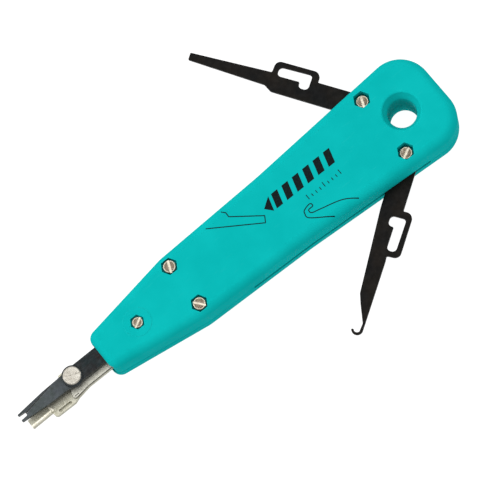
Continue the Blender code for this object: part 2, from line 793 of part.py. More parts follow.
def main_spring():
    """A wire helix round the rod, its axis along X."""
    steps_per_turn = 12
    count = SPRING_TURNS * steps_per_turn
    x_from, x_to = SPRING_X
    curve = bpy.data.curves.new("main_spring", "CURVE")
    curve.dimensions = "3D"
    curve.bevel_depth = WIRE_R * MM
    curve.bevel_resolution = 1
    curve.use_fill_caps = True
    spline = curve.splines.new("POLY")
    spline.points.add(count)
    for step, point in enumerate(spline.points):
        turn = math.tau * step / steps_per_turn
        x = x_from + (x_to - x_from) * step / count
        y = SPRING_R * math.cos(turn)
        z = SPRING_Z + SPRING_R * math.sin(turn)
        point.co = (x * MM, y * MM, z * MM, 1.0)
    spring = bpy.data.objects.new("main_spring", curve)
    curve.materials.append(MATERIALS["spring_steel"])
    PARTS.objects.link(spring)
    return spring


def spring_rod():
    rod = cylinder("spring_rod", 0, 0, ROD_R, ROD_X[0], BLOCK_X[0] - GAP, "steel", sides=20)
    tail = cylinder("spring_rod_tail", 0, 0, ROD_R - 0.35, BLOCK_X[0] - 1, ROD_X[1], sides=20)
    join(rod, tail)
    lay_along_x(rod)
    lay_along_x(tail)
    return rod


def spring_anchor():
    x_from, x_to = ANCHOR_X
    low = (x_from, -ANCHOR_HALF_WIDTH, ANCHOR_Z[0])
    anchor = box("spring_anchor", low, (x_to, ANCHOR_HALF_WIDTH, ANCHOR_Z[1]), "steel")
    hole = cylinder("anchor_hole", 0, 0, ROD_R + GAP, x_from - 1, x_to + 1, sides=20)
    lay_along_x(hole)
    cut(anchor, hole)
    return anchor


def sliding_head():
    slide = pivot_empty("head_slide", NOSE_X, 0, SPRING_Z)
    fixed = [insertion_blade(), rear_cheek(), carriage_block(), cutter_return_spring()]
    fixed += [main_spring(), spring_rod(), *cutter_pivot()]
    low, high = REAR_PLATE[0] - GAP, FRONT_PLATE[1] + GAP
    for name, x in CARRIAGE_RIVETS.items():
        fixed.append(rivet(name, x, CARRIAGE_RIVET_R, 1.6, low, high))
    ride(slide, *fixed)
    pivot = pivot_empty("cutter_pivot", RIVET_X, 0, CUTTER_PLATE[0])
    pin = cylinder(
        "lock_pin", LOCK_PIN_X, LOCK_PIN_Y, LOCK_PIN_R,
        CUTTER_PLATE[0] + 0.1, LOCK_PLATE[1] - LOCK_SKIN - 0.25, "steel", sides=12,
    )
    ride(pivot, cutter_blade(), pin)
    lock = pivot_empty("cutter_lock_slide", LOCK_PIN_X, LOCK_PIN_Y, LOCK_PLATE[0])
    ride(lock, cutter_lock())
    ride(pivot, lock)
    ride(slide, pivot)


front_shell()
rear_shell()
fasteners()
folding_blade("release_blade", release_edge(), RELEASE_ANGLE, -1)
folding_blade("hook_blade", hook_edge(), HOOK_ANGLE, 1)
spring_anchor()
sliding_head()
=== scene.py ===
"""Looks of the punch-down tool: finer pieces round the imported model, materials, light and camera.

Lengths are in millimetres, and MM turns them into Blender's metres. +X runs to the punching
tip, +Y to the hook blade's side and +Z out of the front face.
"""

import math

import bmesh
import bpy
from mathutils import Matrix, Vector
from mathutils.bvhtree import BVHTree


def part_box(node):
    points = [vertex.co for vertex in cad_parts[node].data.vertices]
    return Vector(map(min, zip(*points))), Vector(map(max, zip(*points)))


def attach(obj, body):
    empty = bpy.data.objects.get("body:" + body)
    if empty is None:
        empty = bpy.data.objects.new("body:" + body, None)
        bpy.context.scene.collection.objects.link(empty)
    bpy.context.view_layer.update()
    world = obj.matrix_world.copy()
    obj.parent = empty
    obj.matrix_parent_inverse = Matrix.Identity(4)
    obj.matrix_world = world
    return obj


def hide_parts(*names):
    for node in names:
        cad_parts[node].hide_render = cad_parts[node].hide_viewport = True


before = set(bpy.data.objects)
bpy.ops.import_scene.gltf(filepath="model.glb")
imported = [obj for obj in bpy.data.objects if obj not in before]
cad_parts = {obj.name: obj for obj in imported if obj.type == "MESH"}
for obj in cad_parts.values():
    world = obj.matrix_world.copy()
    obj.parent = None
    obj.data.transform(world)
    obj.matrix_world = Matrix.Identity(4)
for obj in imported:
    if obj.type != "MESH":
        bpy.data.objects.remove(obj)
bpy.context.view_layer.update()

MM = 0.001
ARC_STEP = math.radians(5)
WELD = 0.002
SHARP_ANGLE = math.radians(48)
SEAM_GAP = 0.04
PLAY = 0.15


def extent(node):
    """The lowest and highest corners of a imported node."""
    low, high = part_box(node)
    return low / MM, high / MM


def middle(node):
    low, high = extent(node)
    return (low + high) / 2


# Handle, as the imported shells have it
FRONT_LOW, FRONT_HIGH = extent("front_shell")
REAR_LOW, REAR_HIGH = extent("rear_shell")
THICKNESS = FRONT_HIGH.z
SPLIT_Z = (FRONT_LOW.z + REAR_HIGH.z) / 2
NOSE_X = FRONT_HIGH.x
HEAD_X = FRONT_LOW.x
WALL = 1.9
SKIN = 2.0
CEILING_Z = THICKNESS - SKIN
HEAD_HALF = 18.45
WAIST_X, WAIST_HALF = -5.8, 14.1
SHOULDER_X, SHOULDER_HALF = 37.1, 12.75
NOSE_HALF = 7.2
HEAD_CORNER = 11.3
NOSE_CORNER = 3.4
EDGE_ROUND = 3.2
SEAM_DEPTH, SEAM_HALF = 0.3, 0.42

# Hanging hole
HANG_X = -56.9
HANG_BORE = 5.0
BORE_STEP = 0.08
HANG_BOWL = 6.5
HANG_BOWL_DEPTH = 3.3
HANG_TUBE = 7.2

# Fasteners
SCREW_R = 1.25
SCREW_HEAD_H = 1.6
NOSE_SCREW_R = 1.1
NOSE_HEAD_H = 1.0
THREAD_PITCH, THREAD_DEPTH = 0.45, 0.13
SLOT_HALF_WIDTH, SLOT_DEPTH = 0.38, 0.45
HEX_FLATS = 5.2
NOSE_HEX_FLATS = 4.4
NUT_FLATS = 4.7
NOSE_NUT_FLATS = 3.9
NUT_POCKET_TOP = 2.8
NOSE_PAD_R, NOSE_PAD_H = 5.0, 0.14

# Folding blades
BLADE_LOW, BLADE_HIGH = extent("hook_blade")[0].z, extent("hook_blade")[1].z
BLADE_BASE = 3.9
BLADE_REACH = 63.2
RELEASE_ANGLE = -57.2
HOOK_ANGLE = 34.5
BAY_X = (-54.6, 18.0)
BAY_Y = 4.6
PIVOT_BOSS = 3.9
BLADE_EDGE = 0.11

# Sliding head
TIP_X = extent("insertion_blade")[1].x
PLATE_LOW, CARRIAGE_X = extent("insertion_blade")[0].z, extent("insertion_blade")[0].x
PLATE_HIGH = 14.5
HEAD_HALF_WIDTH = 3.1
NOSE_SCREW_X = middle("nose_screw").x
RIVET_X = middle("cutter_pivot_screw").x
TRAVEL = 5.0
TRAVEL_SLOT_HALF = 1.4
BOSS_R, BOSS_H = 3.7, 0.8
FORK_DEPTH = 2.6
THIN_X, THIN_Z, THIN_RISE = 88.5, 12.4, 0.8
FACET_LINE = ((104.0, -0.05, PLATE_HIGH - 0.03), (91.5, -2.35, PLATE_HIGH - 0.03))
SCRIBE_WIDTH, SCRIBE_DEPTH = 0.24, 0.12
PIN_R = 1.5
CUTTER_LOW, CUTTER_HIGH = extent("cutter_blade")[0].z, 10.2
LOCK_LOW, LOCK_HIGH = extent("cutter_lock")[0].z, extent("cutter_lock")[1].z
CHEEK_LOW, CHEEK_HIGH = extent("rear_cheek")[0].z, extent("rear_cheek")[1].z
LOCK_PIN = middle("lock_pin")
LOCK_SKIN = 0.3
RAIL_Y = (3.4, 4.6)
RAIL_X = (40.0, 70.5)
NOSE_OPENING_Y = (-4.0, 6.35)
NOSE_OPENING_DEPTH = 6.9
ANCHOR_LOW, ANCHOR_HIGH = extent("spring_anchor")
CARRIAGE_RIVETS = (middle("carriage_rivet_inner").x, middle("carriage_rivet_outer").x)
CARRIAGE_RIVET_R = 0.9


# Materials


class Finish:
    """One material, built up a node at a time on its Principled shader."""

    def __init__(self, name, metallic=0.0, specular=0.5):
        self.material = bpy.data.materials.new(name)
        self.material.use_nodes = True
        self.tree = self.material.node_tree
        self.shader = self.tree.nodes["Principled BSDF"]
        self.shader.inputs["Metallic"].default_value = metallic
        self.shader.inputs["Specular IOR Level"].default_value = specular
        self.place = self.node("TexCoord").outputs["Object"]

    def node(self, kind, feeds=None, **settings):
        made = self.tree.nodes.new("ShaderNode" + kind)
        for key, value in settings.items():
            setattr(made, key, value)
        for key, value in (feeds or {}).items():
            self.feed(made.inputs[key], value)
        return made

    def feed(self, socket, value):
        if isinstance(value, bpy.types.NodeSocket):
            self.tree.links.new(value, socket)
        else:
            socket.default_value = value

    def noise(self, size, detail=3.0, stretch=(1.0, 1.0, 1.0), turn=0.0):
        """Noise whose features are about this many millimetres, stretched along each axis."""
        mapping = self.node("Mapping", {"Vector": self.place})
        mapping.inputs["Rotation"].default_value = (0.0, 0.0, math.radians(turn))
        mapping.inputs["Scale"].default_value = [1 / (share * size * MM) for share in stretch]
        texture = self.node("TexNoise", {"Vector": mapping.outputs["Vector"], "Scale": 1.0})
        texture.inputs["Detail"].default_value = detail
        return texture.outputs["Fac"]

    def rings(self, pitch, wobble=0.5):
        """Turning marks round the piece's own Z axis."""
        feeds = {"Vector": self.place, "Scale": 0.314 / (pitch * MM), "Distortion": wobble}
        texture = self.node("TexWave", feeds, wave_type="RINGS", rings_direction="Z")
        return texture.outputs["Fac"]

    def between(self, value, low, high, to_low=0.0, to_high=1.0):
        """The value where it passes from low to high, spread from to_low to to_high."""
        feeds = {"Value": value, "From Min": low, "From Max": high, "To Min": to_low, "To Max": to_high}
        return self.node("MapRange", feeds).outputs["Result"]

    def math(self, operation, first, second):
        made = self.node("Math", operation=operation)
        self.feed(made.inputs[0], first)
        self.feed(made.inputs[1], second)
        return made.outputs["Value"]

    def mix(self, share, first, second):
        """The first colour where the share is 0, the second where it is 1."""
        made = self.node("Mix", data_type="RGBA")
        sockets = [socket for socket in made.inputs if socket.enabled]
        self.feed(sockets[0], share)
        for socket, value in zip(sockets[1:], (first, second)):
            self.feed(socket, (*value, 1.0) if isinstance(value, tuple) else value)
        return next(socket for socket in made.outputs if socket.enabled)

    def edges(self, radius):
        """Near 1 along edges and 0 on open faces, for wear."""
        bevel = self.node("Bevel", {"Radius": radius * MM}, samples=6)
        geometry = self.node("NewGeometry")
        dot = self.node("VectorMath", operation="DOT_PRODUCT")
        self.feed(dot.inputs[0], bevel.outputs["Normal"])
        self.feed(dot.inputs[1], geometry.outputs["Normal"])
        return self.between(dot.outputs["Value"], 0.995, 0.86)

    def set(self, colour, roughness, height=None, depth=0.01):
        self.feed(self.shader.inputs["Base Color"], colour)
        self.feed(self.shader.inputs["Roughness"], roughness)
        if height is not None:
            bump = self.node("Bump", {"Height": height, "Distance": depth * MM, "Strength": 1.0})
            self.feed(self.shader.inputs["Normal"], bump.outputs["Normal"])
        return self.material


def teal_plastic():
    """Moulded ABS: even colour, a fine grain, faint rubs and a few hairline scratches."""
    finish = Finish("teal_plastic_finish", specular=0.001)
    cloud = finish.noise(11.0, 2.0)
    grain = finish.noise(0.22, 2.0)
    scratch_one = finish.between(finish.noise(0.4, 1.0, (16.0, 1.0, 1.0), 28), 0.73, 0.77)
    scratch_two = finish.between(finish.noise(0.35, 1.0, (13.0, 1.0, 1.0), -52), 0.74, 0.78)
    scratches = finish.math("MAXIMUM", scratch_one, scratch_two)
    rub = finish.math("MULTIPLY", finish.edges(0.5), finish.between(finish.noise(2.4), 0.42, 0.62))
    colour = finish.mix(finish.between(cloud, 0.35, 0.65), (0.0026, 0.447, 0.438), (0.0036, 0.482, 0.472))
    colour = finish.mix(finish.between(grain, 0.60, 0.72, 0.0, 0.10), colour, (0.02, 0.62, 0.60))
    colour = finish.mix(finish.math("MULTIPLY", scratches, 0.10), colour, (0.05, 0.66, 0.64))
    colour = finish.mix(finish.math("MULTIPLY", rub, 0.22), colour, (0.06, 0.66, 0.64))
    roughness = finish.between(finish.noise(5.0, 4.0), 0.3, 0.7, 0.38, 0.50)
    height = finish.math("SUBTRACT", grain, scratches)
    return finish.set(colour, roughness, height, 0.006)


def black_steel():
    """Blackened spring steel: oily black with a brown and a blue cast, bare along rubbed edges."""
    finish = Finish("black_steel_finish", metallic=0.3, specular=0.07)
    cast = finish.between(finish.noise(7.0, 3.0), 0.35, 0.65)
    speck = finish.between(finish.noise(0.45, 4.0), 0.60, 0.74)
    rub = finish.math("MULTIPLY", finish.edges(0.22), finish.between(finish.noise(1.1, 4.0), 0.40, 0.62))
    drawn = finish.noise(0.12, 2.0, (22.0, 1.0, 1.0), 0)
    colour = finish.mix(cast, (0.0050, 0.0052, 0.0055), (0.0105, 0.0085, 0.0068))
    colour = finish.mix(finish.math("MULTIPLY", speck, 0.35), colour, (0.030, 0.025, 0.020))
    colour = finish.mix(finish.math("MULTIPLY", rub, 0.50), colour, (0.11, 0.10, 0.09))
    roughness = finish.between(finish.noise(1.6, 5.0), 0.3, 0.7, 0.34, 0.56)
    height = finish.math("ADD", drawn, finish.math("MULTIPLY", speck, 0.7))
    return finish.set(colour, roughness, height, 0.008)


def blued_steel():
    """The punching blade: ground steel with a dark grey-blue oxide, polished bare at the tip."""
    finish = Finish("blued_steel_finish", metallic=0.75, specular=0.25)
    along = finish.node("SeparateXYZ", {"Vector": finish.place}).outputs["X"]
    towards_tip = finish.between(along, 0.078, 0.094)
    at_tip = finish.between(along, 0.1015, 0.1045)
    cloud = finish.between(finish.noise(2.6, 4.0), 0.35, 0.65)
    drawn = finish.noise(0.10, 3.0, (30.0, 1.0, 1.0), 3)
    rub = finish.math("MULTIPLY", finish.edges(0.16), finish.between(finish.noise(0.8, 4.0), 0.36, 0.60))
    shank = finish.mix(cloud, (0.0095, 0.0075, 0.0072), (0.0075, 0.0125, 0.0135))
    blade = finish.mix(cloud, (0.040, 0.049, 0.048), (0.054, 0.061, 0.068))
    colour = finish.mix(towards_tip, shank, blade)
    colour = finish.mix(finish.between(drawn, 0.5, 0.8, 0.0, 0.35), colour, (0.10, 0.11, 0.12))
    bare = finish.math("MULTIPLY", rub, finish.math("ADD", finish.math("MULTIPLY", at_tip, 0.55), 0.25))
    colour = finish.mix(bare, colour, (0.62, 0.60, 0.56))
    roughness = finish.between(finish.noise(1.2, 4.0), 0.3, 0.7, 0.30, 0.46)
    return finish.set(colour, roughness, drawn, 0.006)


def plated(name, light, dark, pitch=None, rough=(0.24, 0.40), stain=(0.16, 0.13, 0.08)):
    """Plated metal: cloudy, hairline scratched, with grime speckled in and a rubbed bright edge."""
    finish = Finish(name, metallic=0.85, specular=0.4)
    cloud = finish.between(finish.noise(1.3, 5.0), 0.32, 0.68)
    hair = finish.noise(0.07, 2.0, (24.0, 1.0, 1.0), 17)
    cross = finish.between(finish.noise(0.16, 1.0, (12.0, 1.0, 1.0), -38), 0.66, 0.70)
    grime = finish.between(finish.noise(0.55, 5.0), 0.60, 0.72)
    colour = finish.mix(cloud, light, dark)
    colour = finish.mix(finish.math("MULTIPLY", grime, 0.42), colour, stain)
    colour = finish.mix(finish.math("MULTIPLY", cross, 0.40), colour, (0.93, 0.91, 0.87))
    colour = finish.mix(finish.math("MULTIPLY", finish.edges(0.18), 0.40), colour, (0.92, 0.89, 0.82))
    roughness = finish.between(finish.noise(0.8, 4.0), 0.3, 0.7, *rough)
    height = finish.math("ADD", hair, cross)
    if pitch:
        height = finish.math("ADD", height, finish.math("MULTIPLY", finish.rings(pitch), 1.6))
    return finish.set(colour, roughness, height, 0.006)


def acetal():
    """Black self-oiling plastic with a turned sheen."""
    finish = Finish("acetal_finish", specular=0.4)
    grain = finish.noise(0.3, 4.0)
    colour = finish.mix(grain, (0.012, 0.012, 0.013), (0.030, 0.030, 0.032))
    return finish.set(colour, finish.between(finish.noise(1.5), 0.3, 0.7, 0.36, 0.5), grain, 0.01)


def printing_ink():
    """Dark pad-printed ink, thin enough in places for the plastic to tint it."""
    finish = Finish("ink_finish", specular=0.08)
    thin = finish.between(finish.noise(0.5, 4.0), 0.50, 0.75, 0.0, 0.35)
    colour = finish.mix(thin, (0.0015, 0.0060, 0.0070), (0.002, 0.045, 0.045))
    return finish.set(colour, finish.between(finish.noise(0.6), 0.3, 0.7, 0.42, 0.6), thin, 0.004)


TEAL = teal_plastic()
BLACK = black_steel()
BLUED = blued_steel()
NICKEL = plated("nickel_finish", (0.58, 0.57, 0.475), (0.48, 0.465, 0.365), None, (0.46, 0.60))
PALE_NICKEL = plated("pale_nickel_finish", (0.63, 0.62, 0.545), (0.54, 0.53, 0.46), None, (0.46, 0.60))
# Much paler nickel for the raised tops of the cutter's rib and lip: painted light, brightening faces that the punching
# blade above shades.
PAINTED_LIGHT_NICKEL = plated("painted_light_nickel_finish", (0.86, 0.83, 0.71), (0.77, 0.74, 0.61), None, (0.42, 0.56))
BRIGHT = plated("bright_nickel_finish", (0.50, 0.475, 0.42), (0.38, 0.355, 0.305), 0.20, (0.36, 0.50), (0.20, 0.16, 0.11))
SCREW = plated("screw_finish", (0.21, 0.170, 0.120), (0.11, 0.085, 0.058), 0.24, (0.30, 0.46), (0.04, 0.028, 0.018))
# Pale metal for screw heads: bare where worn in the slot floor, and a painted highlight round the chamfered rim.
SCREW_BARE_AND_HIGHLIGHT = plated("bare_and_highlight_screw_finish", (0.62, 0.57, 0.46), (0.46, 0.41, 0.31), None, (0.32, 0.46), (0.22, 0.16, 0.09))
STEEL = plated("steel_finish", (0.50, 0.49, 0.47), (0.38, 0.37, 0.35))
SPRING = plated("spring_steel_finish", (0.46, 0.45, 0.43), (0.30, 0.29, 0.28))
ACETAL = acetal()
INK = printing_ink()


# Shapes


def place_mesh(name, mesh, x=0.0, y=0.0):
    obj = bpy.data.objects.new(name, mesh)
    bpy.context.scene.collection.objects.link(obj)
    obj.location = (x * MM, y * MM, 0.0)
    return obj


def plate(name, outlines, low, high, edge=0.0, steps=2):
    """A flat piece between two heights, its rims rounded. The first outline is its edge, the rest holes."""
    curve = bpy.data.curves.new(name, "CURVE")
    curve.dimensions = "2D"
    curve.fill_mode = "BOTH"
    curve.extrude = ((high - low) / 2 - edge) * MM
    curve.bevel_depth = edge * MM
    curve.bevel_resolution = steps
    curve.offset = -edge * MM
    for outline in outlines:
        spline = curve.splines.new("POLY")
        spline.points.add(len(outline) - 1)
        for point, (x, y) in zip(spline.points, outline):
            point.co = (x * MM, y * MM, 0.0, 1.0)
        spline.use_cyclic_u = True
    guide = bpy.data.objects.new(name + "_guide", curve)
    bpy.context.scene.collection.objects.link(guide)
    guide.location.z = (low + high) / 2 * MM
    return place_mesh(name, mesh_of(guide))


def mesh_of(guide, joins_flats=True):
    """The closed mesh of a curve object, which is then removed."""
    graph = bpy.context.evaluated_depsgraph_get()
    graph.update()
    mesh = bpy.data.meshes.new_from_object(guide.evaluated_get(graph))
    mesh.transform(guide.matrix_world)
    bpy.data.objects.remove(guide, do_unlink=True)
    shape = bmesh.new()
    shape.from_mesh(mesh)
    bmesh.ops.remove_doubles(shape, verts=shape.verts, dist=1e-6)
    if joins_flats:
        angle = math.radians(0.3)
        bmesh.ops.dissolve_limit(
            shape, angle_limit=angle, verts=shape.verts, edges=shape.edges, delimit={"NORMAL"}
        )
    bmesh.ops.recalc_face_normals(shape, faces=shape.faces)
    shape.to_mesh(mesh)
    shape.free()
    return mesh


def turned(name, x, y, profile, sides=72, ring_shaped=False):
    """A piece turned about Z from points (radius, height), low to high. Six sides make it hexagonal."""
    shape = bmesh.new()
    rings = []
    for radius, height in profile:
        turns = [math.tau * side / sides for side in range(sides if radius else 1)]
        spots = [(radius * math.cos(turn), radius * math.sin(turn), height) for turn in turns]
        rings.append([shape.verts.new(Vector(spot) * MM) for spot in spots])
    pairs = list(zip(rings, rings[1:]))
    if ring_shaped:
        pairs.append((rings[-1], rings[0]))
    for lower, upper in pairs:
        for side in range(sides):
            after = (side + 1) % sides
            corners = [lower[side % len(lower)], lower[after % len(lower)]]
            corners += [upper[after % len(upper)], upper[side % len(upper)]]
            shape.faces.new(list(dict.fromkeys(corners)))
    bmesh.ops.recalc_face_normals(shape, faces=shape.faces)
    mesh = bpy.data.meshes.new(name)
    shape.to_mesh(mesh)
    shape.free()
    return place_mesh(name, mesh, x, y)


def cylinder(name, x, y, radius, low, high, sides=72):
    return turned(name, x, y, [(0, low), (radius, low), (radius, high), (0, high)], sides)


def hexagon(name, x, y, flats, low, high, rim=0.0, rim_at=0.0):
    """A hexagonal prism with two corners on the line along X, flared by rim past the height rim_at."""
    corner = flats / math.sqrt(3)
    side = [(corner, low), (corner, high)]
    if rim and rim_at > low + 1:
        side = [(corner, low), (corner, rim_at - rim), (corner + 2 * rim, rim_at + rim)]
    elif rim:
        side = [(corner + 2 * rim, rim_at - rim), (corner, rim_at + rim), (corner, high)]
    return turned(name, x, y, [(0, side[0][1]), *side, (0, side[-1][1])], 6)


def box(name, low, high):
    shape = bmesh.new()
    bmesh.ops.create_cube(shape, size=1.0)
    low, high = Vector(low) * MM, Vector(high) * MM
    bmesh.ops.scale(shape, vec=high - low, verts=shape.verts)
    bmesh.ops.translate(shape, vec=(low + high) / 2, verts=shape.verts)
    mesh = bpy.data.meshes.new(name)
    shape.to_mesh(mesh)
    shape.free()
    return place_mesh(name, mesh)


def combine(obj, operation, *others):
    for other in others:
        modifier = obj.modifiers.new(other.name, "BOOLEAN")
        modifier.operation = operation
        modifier.solver = "EXACT"
        modifier.object = other
    return obj


def cut(obj, *cutters):
    return combine(obj, "DIFFERENCE", *cutters)


def join(obj, *others):
    return combine(obj, "UNION", *others)


def weld(mesh):
    """Joins the corners that a boolean leaves a hair apart, so that the mesh is closed."""
    form = bmesh.new()
    form.from_mesh(mesh)
    bmesh.ops.remove_doubles(form, verts=form.verts, dist=WELD * MM)
    bmesh.ops.dissolve_degenerate(form, edges=form.edges, dist=WELD * MM)
    form.to_mesh(mesh)
    form.free()


def settle(obj):
    """Applies the modifiers and removes the shapes that they used."""
    bpy.context.view_layer.update()
    graph = bpy.context.evaluated_depsgraph_get()
    mesh = bpy.data.meshes.new_from_object(obj.evaluated_get(graph))
    used = [modifier.object for modifier in obj.modifiers if modifier.type == "BOOLEAN"]
    if used:
        weld(mesh)
    obj.modifiers.clear()
    obj.data = mesh
    for other in used:
        bpy.data.objects.remove(other, do_unlink=True)
    return obj


def smooth(obj):
    """Shades round stretches smooth and keeps flat faces flat."""
    obj.data.shade_smooth()
    obj.data.set_sharp_from_angle(angle=SHARP_ANGLE)
    normals = obj.modifiers.new("normals", "WEIGHTED_NORMAL")
    normals.keep_sharp = True
    normals.weight = 100


def finished(obj, material, body, slot, *nodes):
    """Makes obj a piece of the object: its mesh settled, its material on, riding on its body."""
    settle(obj)
    obj.data.materials.clear()
    obj.data.materials.append(material)
    smooth(obj)
    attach(obj, body)
    if nodes:
        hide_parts(*nodes)
    return obj


def paint(obj, material, is_painted):
    """Gives the faces that pass the test a second material."""
    obj.data.materials.append(material)
    for face in obj.data.polygons:
        if is_painted(face):
            face.material_index = 1


def rounded(corners):
    """The outline through corners (x, y, radius), each turned by an arc tangent to its sides."""
    outline = []
    count = len(corners)
    for index, (x, y, radius) in enumerate(corners):
        here = Vector((x, y))
        if radius == 0:
            outline.append(here)
            continue
        to_last = (Vector(corners[index - 1][:2]) - here).normalized()
        to_next = (Vector(corners[(index + 1) % count][:2]) - here).normalized()
        half = to_last.angle(to_next) / 2
        centre = here + (to_last + to_next).normalized() * (radius / math.sin(half))
        start = here + to_last * (radius / math.tan(half)) - centre
        sweep = math.pi - 2 * half
        if to_last.x * to_next.y - to_last.y * to_next.x > 0:
            sweep = -sweep
        steps = max(2, math.ceil(abs(sweep) / ARC_STEP))
        for step in range(steps + 1):
            outline.append(centre + start @ Matrix.Rotation(-sweep * step / steps, 2))
    return [(point.x, point.y) for point in outline]


def ring(x, y, radius, sides=48):
    turns = [math.tau * side / sides for side in range(sides)]
    return [(x + radius * math.cos(turn), y + radius * math.sin(turn)) for turn in turns]


def long_slot(x_from, x_to, y, half):
    """The outline of a slot along X, its round ends centred on x_from and x_to."""
    steps = 16
    right = [(x_to, -math.pi / 2 + math.pi * step / steps) for step in range(steps + 1)]
    left = [(x_from, math.pi / 2 + math.pi * step / steps) for step in range(steps + 1)]
    return [(x + half * math.cos(turn), y + half * math.sin(turn)) for x, turn in right + left]


# Handle


def handle_outline(inset=0.0):
    """The handle seen from the front, or a line this far inside it."""
    side = [
        (NOSE_X - inset, NOSE_HALF - inset, max(NOSE_CORNER - inset, 0.8)),
        (SHOULDER_X, SHOULDER_HALF - inset, 14.0),
        (WAIST_X, WAIST_HALF - inset, 90.0),
        (HEAD_X + inset, HEAD_HALF - inset, HEAD_CORNER - inset),
    ]
    return rounded(side + [(x, -y, radius) for x, y, radius in reversed(side)])


SCREWS = {
    "release_blade": ("screw", "nut"),
    "hook_blade": ("screw", "nut"),
    "body_left": ("screw", "nut"),
    "body_right": ("screw", "nut"),
}


def screw_nodes(spot):
    """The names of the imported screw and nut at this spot."""
    if spot.startswith("body"):
        side = spot.removeprefix("body_")
        return f"body_screw_{side}", f"body_nut_{side}"
    return f"{spot}_screw", f"{spot}_nut"


def blank_shell(name, low, high):
    """The stretch of the solid handle between two heights, with the groove along the seam."""
    shell = plate(name, [handle_outline()], 0.0, THICKNESS, EDGE_ROUND, 8)
    groove = [handle_outline(-1.0), handle_outline(SEAM_DEPTH)]
    cut(shell, plate(name + "_groove", groove, SPLIT_Z - SEAM_HALF, SPLIT_Z + SEAM_HALF, SEAM_DEPTH, 0))
    if low > 0:
        cut(shell, box(name + "_below", (-90, -30, -5), (90, 30, low)))
    if high < THICKNESS:
        cut(shell, box(name + "_above", (-90, -30, high), (90, 30, THICKNESS + 5)))
    return shell


def bays(name, low, high):
    """Cutters for the bays that the folding blades swing in, one on each side."""
    made = []
    for side in (-1, 1):
        near, far = sorted((side * BAY_Y, side * 25.0))
        made.append(box(f"{name}_bay_{side}", (BAY_X[0], near, low), (BAY_X[1], far, high)))
    return made


def rails(name, low, high):
    made = []
    for side in (-1, 1):
        near, far = sorted((side * RAIL_Y[0], side * RAIL_Y[1]))
        made.append(box(f"{name}_rail_{side}", (RAIL_X[0], near, low), (RAIL_X[1], far, high)))
    return made


def bowl():
    """The cutter of the hanging hole: the bore and the soft dish round its mouth."""
    floor = THICKNESS - HANG_BOWL_DEPTH
    wall = [(HANG_BORE, -1.0), (HANG_BORE, floor - 0.4)]
    steps = 8
    for step in range(steps + 1):
        share = step / steps
        ease = share * share * (3 - 2 * share)
        radius = HANG_BORE + (HANG_BOWL - HANG_BORE) * (0.55 * share + 0.45 * ease)
        wall.append((radius, floor + share * (HANG_BOWL_DEPTH - 0.25)))
    wall.append((HANG_BOWL + 0.35, THICKNESS - 0.06))
    wall.append((HANG_BOWL + 0.8, THICKNESS + 0.02))
    wall.append((HANG_BOWL + 0.8, THICKNESS + 1))
    return turned("bowl", HANG_X, 0, [(0, -1.0), *wall, (0, THICKNESS + 1)], 128)


def front_shell():
    low = SPLIT_Z + SEAM_GAP / 2
    shell = blank_shell("front_shell_fine", low, THICKNESS)
    cut(shell, plate("front_hollow", [handle_outline(WALL)], low - 1, CEILING_Z))
    blade_top = BLADE_HIGH + 0.3
    join(shell, cylinder("front_tube", HANG_X, 0, HANG_TUBE, low, CEILING_Z + 0.5))
    for spot in SCREWS:
        x, y, _ = middle(screw_nodes(spot)[0])
        is_pivot = not spot.startswith("body")
        boss_low, radius = (blade_top, PIVOT_BOSS) if is_pivot else (low, 3.0)
        join(shell, cylinder(spot + "_boss", x, y, radius, boss_low, CEILING_Z + 0.5))
    join(shell, cylinder("nose_boss", NOSE_SCREW_X, 0, 2.8, PLATE_HIGH + 0.3, CEILING_Z + 0.5))
    join(shell, box("saddle", (15.6, -6.0, 13.5), (22.2, 6.0, CEILING_Z + 0.5)))
    join(shell, *rails("front", PLATE_LOW + 0.1, CEILING_Z + 0.5))
    join(shell, nose_pad())
    cut(shell, *bays("front", low - 1, blade_top))
    opening = (NOSE_X - NOSE_OPENING_DEPTH, NOSE_OPENING_Y[0], low - 1)
    cut(shell, box("front_opening", opening, (NOSE_X + 1, NOSE_OPENING_Y[1], PLATE_HIGH + 0.3)))
    room = (CARRIAGE_X - TRAVEL, -2.1, CEILING_Z - 1)
    cut(shell, box("rivet_room", room, (CARRIAGE_RIVETS[1] + 1.7, 2.1, CEILING_Z + 0.8)))
    anchor_low = (ANCHOR_LOW.x - 0.3, -5.1, 11.0)
    cut(shell, box("anchor_slot", anchor_low, (ANCHOR_HIGH.x + 0.3, 5.1, ANCHOR_HIGH.z + 0.3)))
    cut(shell, bowl())
    for spot in SCREWS:
        node = screw_nodes(spot)[0]
        x, y, _ = middle(node)
        floor = extent(node)[1].z - SCREW_HEAD_H - 0.3
        cut(shell, hexagon(spot + "_pocket", x, y, HEX_FLATS, floor, THICKNESS + 1, 0.1, THICKNESS))
        cut(shell, cylinder(spot + "_hole", x, y, SCREW_R + PLAY, low - 1, floor + 1, 32))
    floor = extent("nose_screw")[1].z - NOSE_HEAD_H - 0.3
    rim_at = THICKNESS + NOSE_PAD_H
    cut(shell, hexagon("nose_pocket", NOSE_SCREW_X, 0, NOSE_HEX_FLATS, floor, THICKNESS + 1, 0.1, rim_at))
    cut(shell, cylinder("nose_hole", NOSE_SCREW_X, 0, NOSE_SCREW_R + PLAY, low, floor + 1, 32))
    return finished(shell, TEAL, "handle", "teal_plastic", "front_shell")


def nose_pad():
    """The faint raised disc round the nose screw."""
    high = THICKNESS + NOSE_PAD_H
    profile = [(0, 15.5), (NOSE_PAD_R, 15.5), (NOSE_PAD_R, THICKNESS)]
    profile += [(NOSE_PAD_R - 0.08, high - 0.04), (NOSE_PAD_R - 0.25, high), (0, high)]
    return turned("nose_pad", NOSE_SCREW_X, 0, profile, 96)


